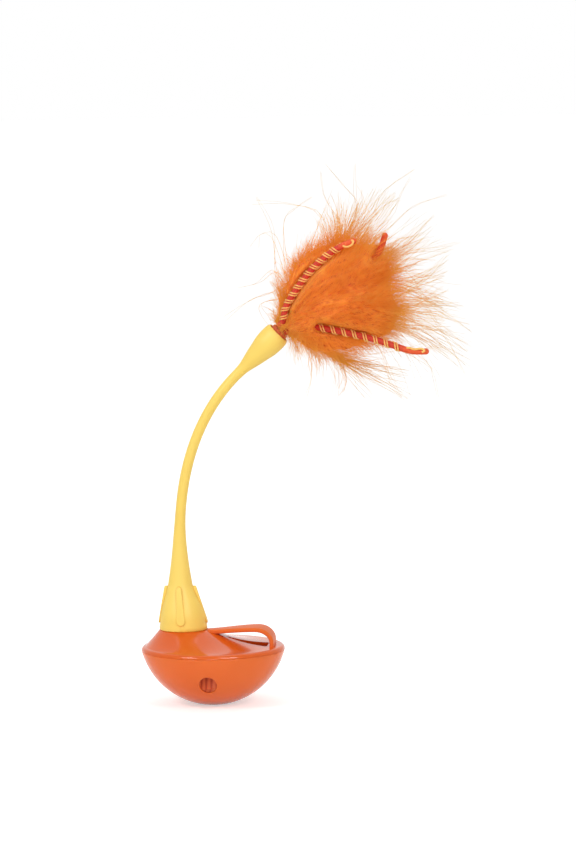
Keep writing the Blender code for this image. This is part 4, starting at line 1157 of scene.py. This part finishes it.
def meetsCup(spot):
    away = spot - lip
    height = away.dot(tasselAxis)
    return height < down["cupHeight"] and (away - height * tasselAxis).length < down["cupClear"]


def isClear(path):
    return len(path) > 2 and not any(hidesCord(spot) or meetsCup(spot) for spot in path)


def quillRoute(degrees, rootShare, middle, tip):
    root = rootPoint(degrees, down["rootCircle"] * rootShare, cord["rootHeight"])
    start = root + down["rootRun"] * tasselAxis
    return smoothRoute([root, start] + [lip + tasselReach * Vector(spot) for spot in (middle, tip)], 60)[0]


puffMiddle = lip + Vector((puffCentre[0] * mm, 0, puffCentre[1] * mm))


def puffSurface(angle, across):
    ring = (1 - abs(across) ** puff["fullness"]) ** (1 / puff["fullness"])
    depth = puff["depth"] if across > 0 else puff["frontDepth"]
    place = puffPlace(angle, ring * puff["share"], across * depth)
    away = place - lip
    reach = away.length
    outward = (place - puffMiddle).normalized()
    swell = noise.noise(away / reach * 3.4 + Vector((0, 0, reach * 26)))
    lock = noise.noise(away / reach * 11 + Vector((0, 0, reach * 30)))
    place += outward * (swell * puff["swell"] + lock * puff["lock"]) * 2
    gap, depth = cordAhead(place)
    over = place.dot(frontBack) - (depth - cord["radius"] - 1.2 * mm)
    if gap < puff["groove"] and over > 0:
        ease = min(1, 1.5 * (1 - gap / puff["groove"]))
        place -= frontBack * over * ease * ease * (3 - 2 * ease)
    return place


# The packed down in the middle of the puff: soft locks that run away from the lip
def buildPackedDown():
    rings = []
    for i in range(puff["rings"]):
        across = sin(pi * (-0.5 + (i + 0.5) / puff["rings"]))
        rings.append([puffSurface(tau * step / puff["steps"], across) for step in range(puff["steps"])])
    shape = sweepRings(rings)
    bmesh.ops.triangulate(shape, faces=[face for face in shape.faces if len(face.verts) > 4])
    piece = newPiece("packedDown", shape, packedDown, 180)
    away = vertexPlaces(piece) - np.array(lip, np.float32)
    reach = np.linalg.norm(away, axis=1, keepdims=True)
    flow = away / reach * 24 + np.array((0, 0, 1), np.float32) * reach * 60
    paintVertices(piece, "flow", "FLOAT_VECTOR", "vector", flow)
    place(piece, "tassel", "orange_feather", *plumeRoutes)


def looseVector(draw):
    return Vector((draw.gauss(0, 1), draw.gauss(0, 1), draw.gauss(0, 1)))


def addBarb(draw, strands, path, width, barbules, fuzzShare):
    if len(path) < 3:
        return
    strands.append((path, [width * (1 - 0.6 * i / (len(path) - 1)) for i in range(len(path))]))
    for _ in range(barbules):
        spotShare = draw.random() * fuzzShare * (len(path) - 1.001)
        at = int(spotShare)
        foot = path[at].lerp(path[at + 1], spotShare - at)
        forward = (path[at + 1] - path[at]).normalized()
        lateral = looseVector(draw)
        direction = (lateral - lateral.dot(forward) * forward).normalized() + forward * draw.uniform(0.5, 1.4)
        end = foot + direction.normalized() * down["barbuleLength"] * draw.uniform(0.4, 1.2)
        if insideBox(end):
            strands.append(((foot, end), [down["barbuleRadius"], down["barbuleRadius"] * 0.3]))


def wavyPath(draw, base, middle, tip, count):
    seedPlace = Vector((draw.uniform(0, 9), draw.uniform(0, 9), draw.uniform(0, 9)))
    path = []
    for i in range(count + 1):
        t = i / count
        spot = (1 - t) ** 2 * base + 2 * t * (1 - t) * middle + t * t * tip
        spot += noise.noise_vector(seedPlace + Vector((t * 2.4, 0, 0))) * down["curl"] * t
        if not insideBox(spot):
            break
        path.append(spot)
    return path


# Short barbs that stand off the packed down and are combed away from the lip
def fuzzPath(draw):
    across = draw.uniform(-1, 1)
    across = math.copysign(abs(across) ** 0.8, across)
    base = puffSurface(draw.uniform(0, tau), across)
    flow = (base - lip).normalized()
    outward = (base - puffMiddle).normalized()
    locks = noise.noise_vector(flow * 7 + Vector((0, 0, (base - lip).length * 30)))
    length = down["fuzzLength"] * draw.uniform(0.5, 1.3)
    lean = (flow * 0.75 + outward * draw.uniform(0.2, 0.95) + locks * 0.6 + looseVector(draw) * 0.14).normalized()
    base -= outward * 1.2 * mm
    middle = base + (lean * 0.5 + outward * 0.18) * length
    return wavyPath(draw, base, middle, base + lean * length, 4)


def barbPath(draw, route, tip, count):
    last = len(route) - 2
    near = min(range(2, last), key=lambda i: (route[i] - tip).length_squared)
    step = (route[1] - route[0]).length
    foot = max(1, near - int(draw.uniform(9, 26) * mm / step))
    base = route[foot].lerp(route[foot + 1], draw.random())
    along = (route[foot + 1] - route[foot]).normalized()
    far = (tip - base).length
    middle = base + along * far * 0.42 + looseVector(draw) * far * 0.07
    return wavyPath(draw, base, middle, tip, count)


def shaftRoutes(draw, mains):
    shafts = []
    for i in range(down["shafts"]):
        share = draw.uniform(0.55, 0.9)
        depth = draw.uniform(-1, 1) * (0.25 + 0.75 * sqrt(1 - share * share)) * puff["depth"]
        tip = puffPlace((i * goldenAngle) % tau, share, depth)
        name = min(mains, key=lambda each: min((mains[each][j] - tip).length for j in range(20, 60, 4)))
        split = mains[name][draw.randrange(2, 7)]
        middle = split.lerp(tip, 0.5) + tasselAxis * 6 * mm + looseVector(draw) * 2 * mm
        shafts.append((name, smoothRoute([mains[name][0], split, middle, tip], 40)[0]))
    return shafts


# How far the fringe reaches past the packed down, by degrees round it from forwards through upwards
fringeDegrees = (0, 55, 100, 122, 165, 195, 245, 268, 300, 360)
fringeShares = (1.45, 1.1, 0.95, 0.36, 0.46, 0.3, 0.4, 0.9, 1.4, 1.5)


def tuftTip(draw, angle):
    across = max(-0.95, min(0.95, draw.gauss(0, 0.42)))
    low = float(np.interp(math.degrees(angle), fringeDegrees, fringeShares))
    beyond = 1 + low * draw.triangular(0.0, 1.0, 0.12)
    return puffPlace(angle, sqrt(1 - across * across) * beyond, across * puff["depth"] * beyond)


def paintBarbs(piece):
    away = np.linalg.norm(vertexPlaces(piece) - np.array(puffMiddle), axis=1)
    paintVertices(piece, "alongBarb", "FLOAT", "value", np.clip((away - puff["paleFrom"]) / puff["paleOver"], 0, 1))


# Without a seed of its own the noise takes one from the clock
def buildPlumes():
    draw = random.Random(7)
    noise.seed_set(7)
    mains = {name: quillRoute(*facts) for name, facts in plumeRoutes.items()}
    strands = {name: [] for name in mains}
    allShafts = shaftRoutes(draw, mains)
    for name, route in mains.items():
        thick = [down["quill"] * (1 - 0.85 * i / (len(route) - 1)) for i in range(len(route))]
        strands[name].append((route, thick))
        allShafts.append((name, route[: int(len(route) * down["shaftShare"])]))

    def nearestShaft(tip, vague):
        best, chosen = 1.0, None
        for name, route in allShafts:
            near = min((spot - tip).length for spot in route[4::5]) * draw.uniform(1, vague)
            if near < best:
                best, chosen = near, (name, route)
        return chosen

    def nearestPlume(spot):
        return min(mains, key=lambda each: min((mains[each][j] - spot).length for j in range(4, 60, 5)))

    def addFringe(name, route, tip, widest):
        path = barbPath(draw, route, tip, down["barbSteps"])
        if isClear(path):
            width = down["barbRadius"] * draw.uniform(0.6, widest)
            addBarb(draw, strands[name], path, width, down["barbules"], 0.8)

    buildPackedDown()
    for _ in range(down["fuzz"]):
        path = fuzzPath(draw)
        if isClear(path):
            width = down["fuzzRadius"] * draw.uniform(0.7, 1.2)
            addBarb(draw, strands[nearestPlume(path[0])], path, width, down["fuzzBarbules"], 1.0)
    for i in range(down["tufts"]):
        angle = (i * goldenAngle) % tau
        if i % 2 and down["thinFrom"] < angle < down["thinTo"]:
            continue
        tip = tuftTip(draw, angle)
        name, route = nearestShaft(tip, 1.3)
        for _ in range(down["tuftBarbs"]):
            addFringe(name, route, tip + looseVector(draw) * 2.6 * mm, 1.1)
    for _ in range(down["singles"]):
        tip = tuftTip(draw, draw.uniform(0, tau))
        name, route = nearestShaft(tip, 1.5)
        addFringe(name, route, tip, 1.0)
    for spots in wisps:
        depth = draw.uniform(-12, 12) * mm
        targets = [lip + Vector((x * mm, depth, z * mm)) for x, z in spots]
        name, route = nearestShaft(targets[0], 1.1)
        for _ in range(2):
            base = route[draw.randrange(len(route) // 4, len(route) * 3 // 4)]
            shaken = [spot + looseVector(draw) * 1.3 * mm for spot in targets]
            path = [spot for spot in smoothRoute([base] + shaken, down["wispSteps"])[0] if insideBox(spot)]
            addBarb(draw, strands[name], path, down["barbRadius"], down["wispBarbules"], 0.6)
    for name in mains:
        piece = curvePiece(name.replace("plume_", "marabou_"), strands[name], 3, marabou)
        paintBarbs(piece)
        place(piece, "tassel", "orange_feather", name)
        triangles = sum(len(face.vertices) - 2 for face in piece.data.polygons)
        print(name, len(strands[name]), "strands", triangles, "triangles")


buildPlumes()

# Floor, backdrop, light and camera
studio = {"lift": 0.5, "worldStrength": 0.62, "floorSize": 8.0}


# Rays that reach the camera straight, by gloss or through a wall: they see the paper brighter than it lights
def seenRays(tree):
    paths = addNode(tree, "ShaderNodeLightPath").outputs
    seen = paths["Is Camera Ray"]
    for other in ("Is Glossy Ray", "Is Transmission Ray"):
        seen = addNode(tree, "ShaderNodeMath", [(seen, 0), (paths[other], 1)], operation="MAXIMUM").outputs[0]
    return seen


def buildStage():
    paper, tree, shader = newMaterial("studioPaper", 0.9, Base_Color=(0.8, 0.8, 0.8, 1), Emission_Color=white)
    strength = addNode(tree, "ShaderNodeMath", [(seenRays(tree), 0)], operation="MULTIPLY")
    strength.inputs[1].default_value = studio["lift"]
    tree.links.new(strength.outputs[0], shader.inputs["Emission Strength"])
    shape = bmesh.new()
    bmesh.ops.create_grid(shape, x_segments=1, y_segments=1, size=studio["floorSize"])
    floor = newPiece("studioFloor", shape, paper)
    world = bpy.data.worlds.new("studioWorld")
    bpy.context.scene.world = world
    world.use_nodes = True
    tree = world.node_tree
    background = tree.nodes["Background"]
    background.inputs["Color"].default_value = white
    level = addNode(
        tree, "ShaderNodeMapRange", [(seenRays(tree), "Value")], To_Min=studio["worldStrength"], To_Max=1.0
    )
    tree.links.new(level.outputs["Result"], background.inputs["Strength"])


# Lamps: place, size and power
lamps = {
    "keyLamp": ((-0.9, -1.1, 1.3), 0.32, 6.8),
    "fillLamp": ((0.85, -1.15, 1.15), 0.28, 3.8),
    "frontLamp": ((0.12, -1.7, 0.36), 0.5, 3.2),
    "topLamp": ((0.1, 0.5, 1.6), 1.2, 4.0),
}
# Cards that light nothing: only the gloss of the plastic shows them
cards = {
    "leftCard": ((-0.95, -1.22, 1.2), 0.8, 24.0),
    "rightCard": ((0.83, -1.28, 1.15), 0.8, 24.0),
}


def buildLamps():
    for name, (spot, size, power) in (lamps | cards).items():
        lamp = bpy.data.lights.new(name, "AREA")
        lamp.shape = "SQUARE"
        lamp.size = size
        lamp.energy = power
        holder = linked(name, lamp)
        holder.location = spot
        aim = Vector((0, 0, 0.15)) - Vector(spot)
        holder.rotation_euler = aim.to_track_quat("-Z", "Y").to_euler()
        holder.visible_diffuse = name not in cards


def buildCamera():
    roll = radians(view["roll"])
    target = Vector((0, 0, view["base"])) + frontRight * view["right"] + frontUp * view["up"]
    rightRolled = cos(roll) * frontRight - sin(roll) * frontUp
    upRolled = sin(roll) * frontRight + cos(roll) * frontUp
    axes = Matrix((rightRolled, upRolled, frontBack)).transposed()
    far = view["tall"] * view["lens"] / view["sensor"]
    camera = bpy.data.cameras.new("camera")
    camera.lens = view["lens"]
    camera.sensor_width = view["sensor"]
    holder = linked("camera", camera)
    holder.matrix_world = Matrix.Translation(target + frontBack * far) @ axes.to_4x4()
    bpy.context.scene.camera = holder


buildStage()
buildLamps()
buildCamera()
bpy.context.scene.view_settings.view_transform = "Standard"
print("stage, lamps and camera")
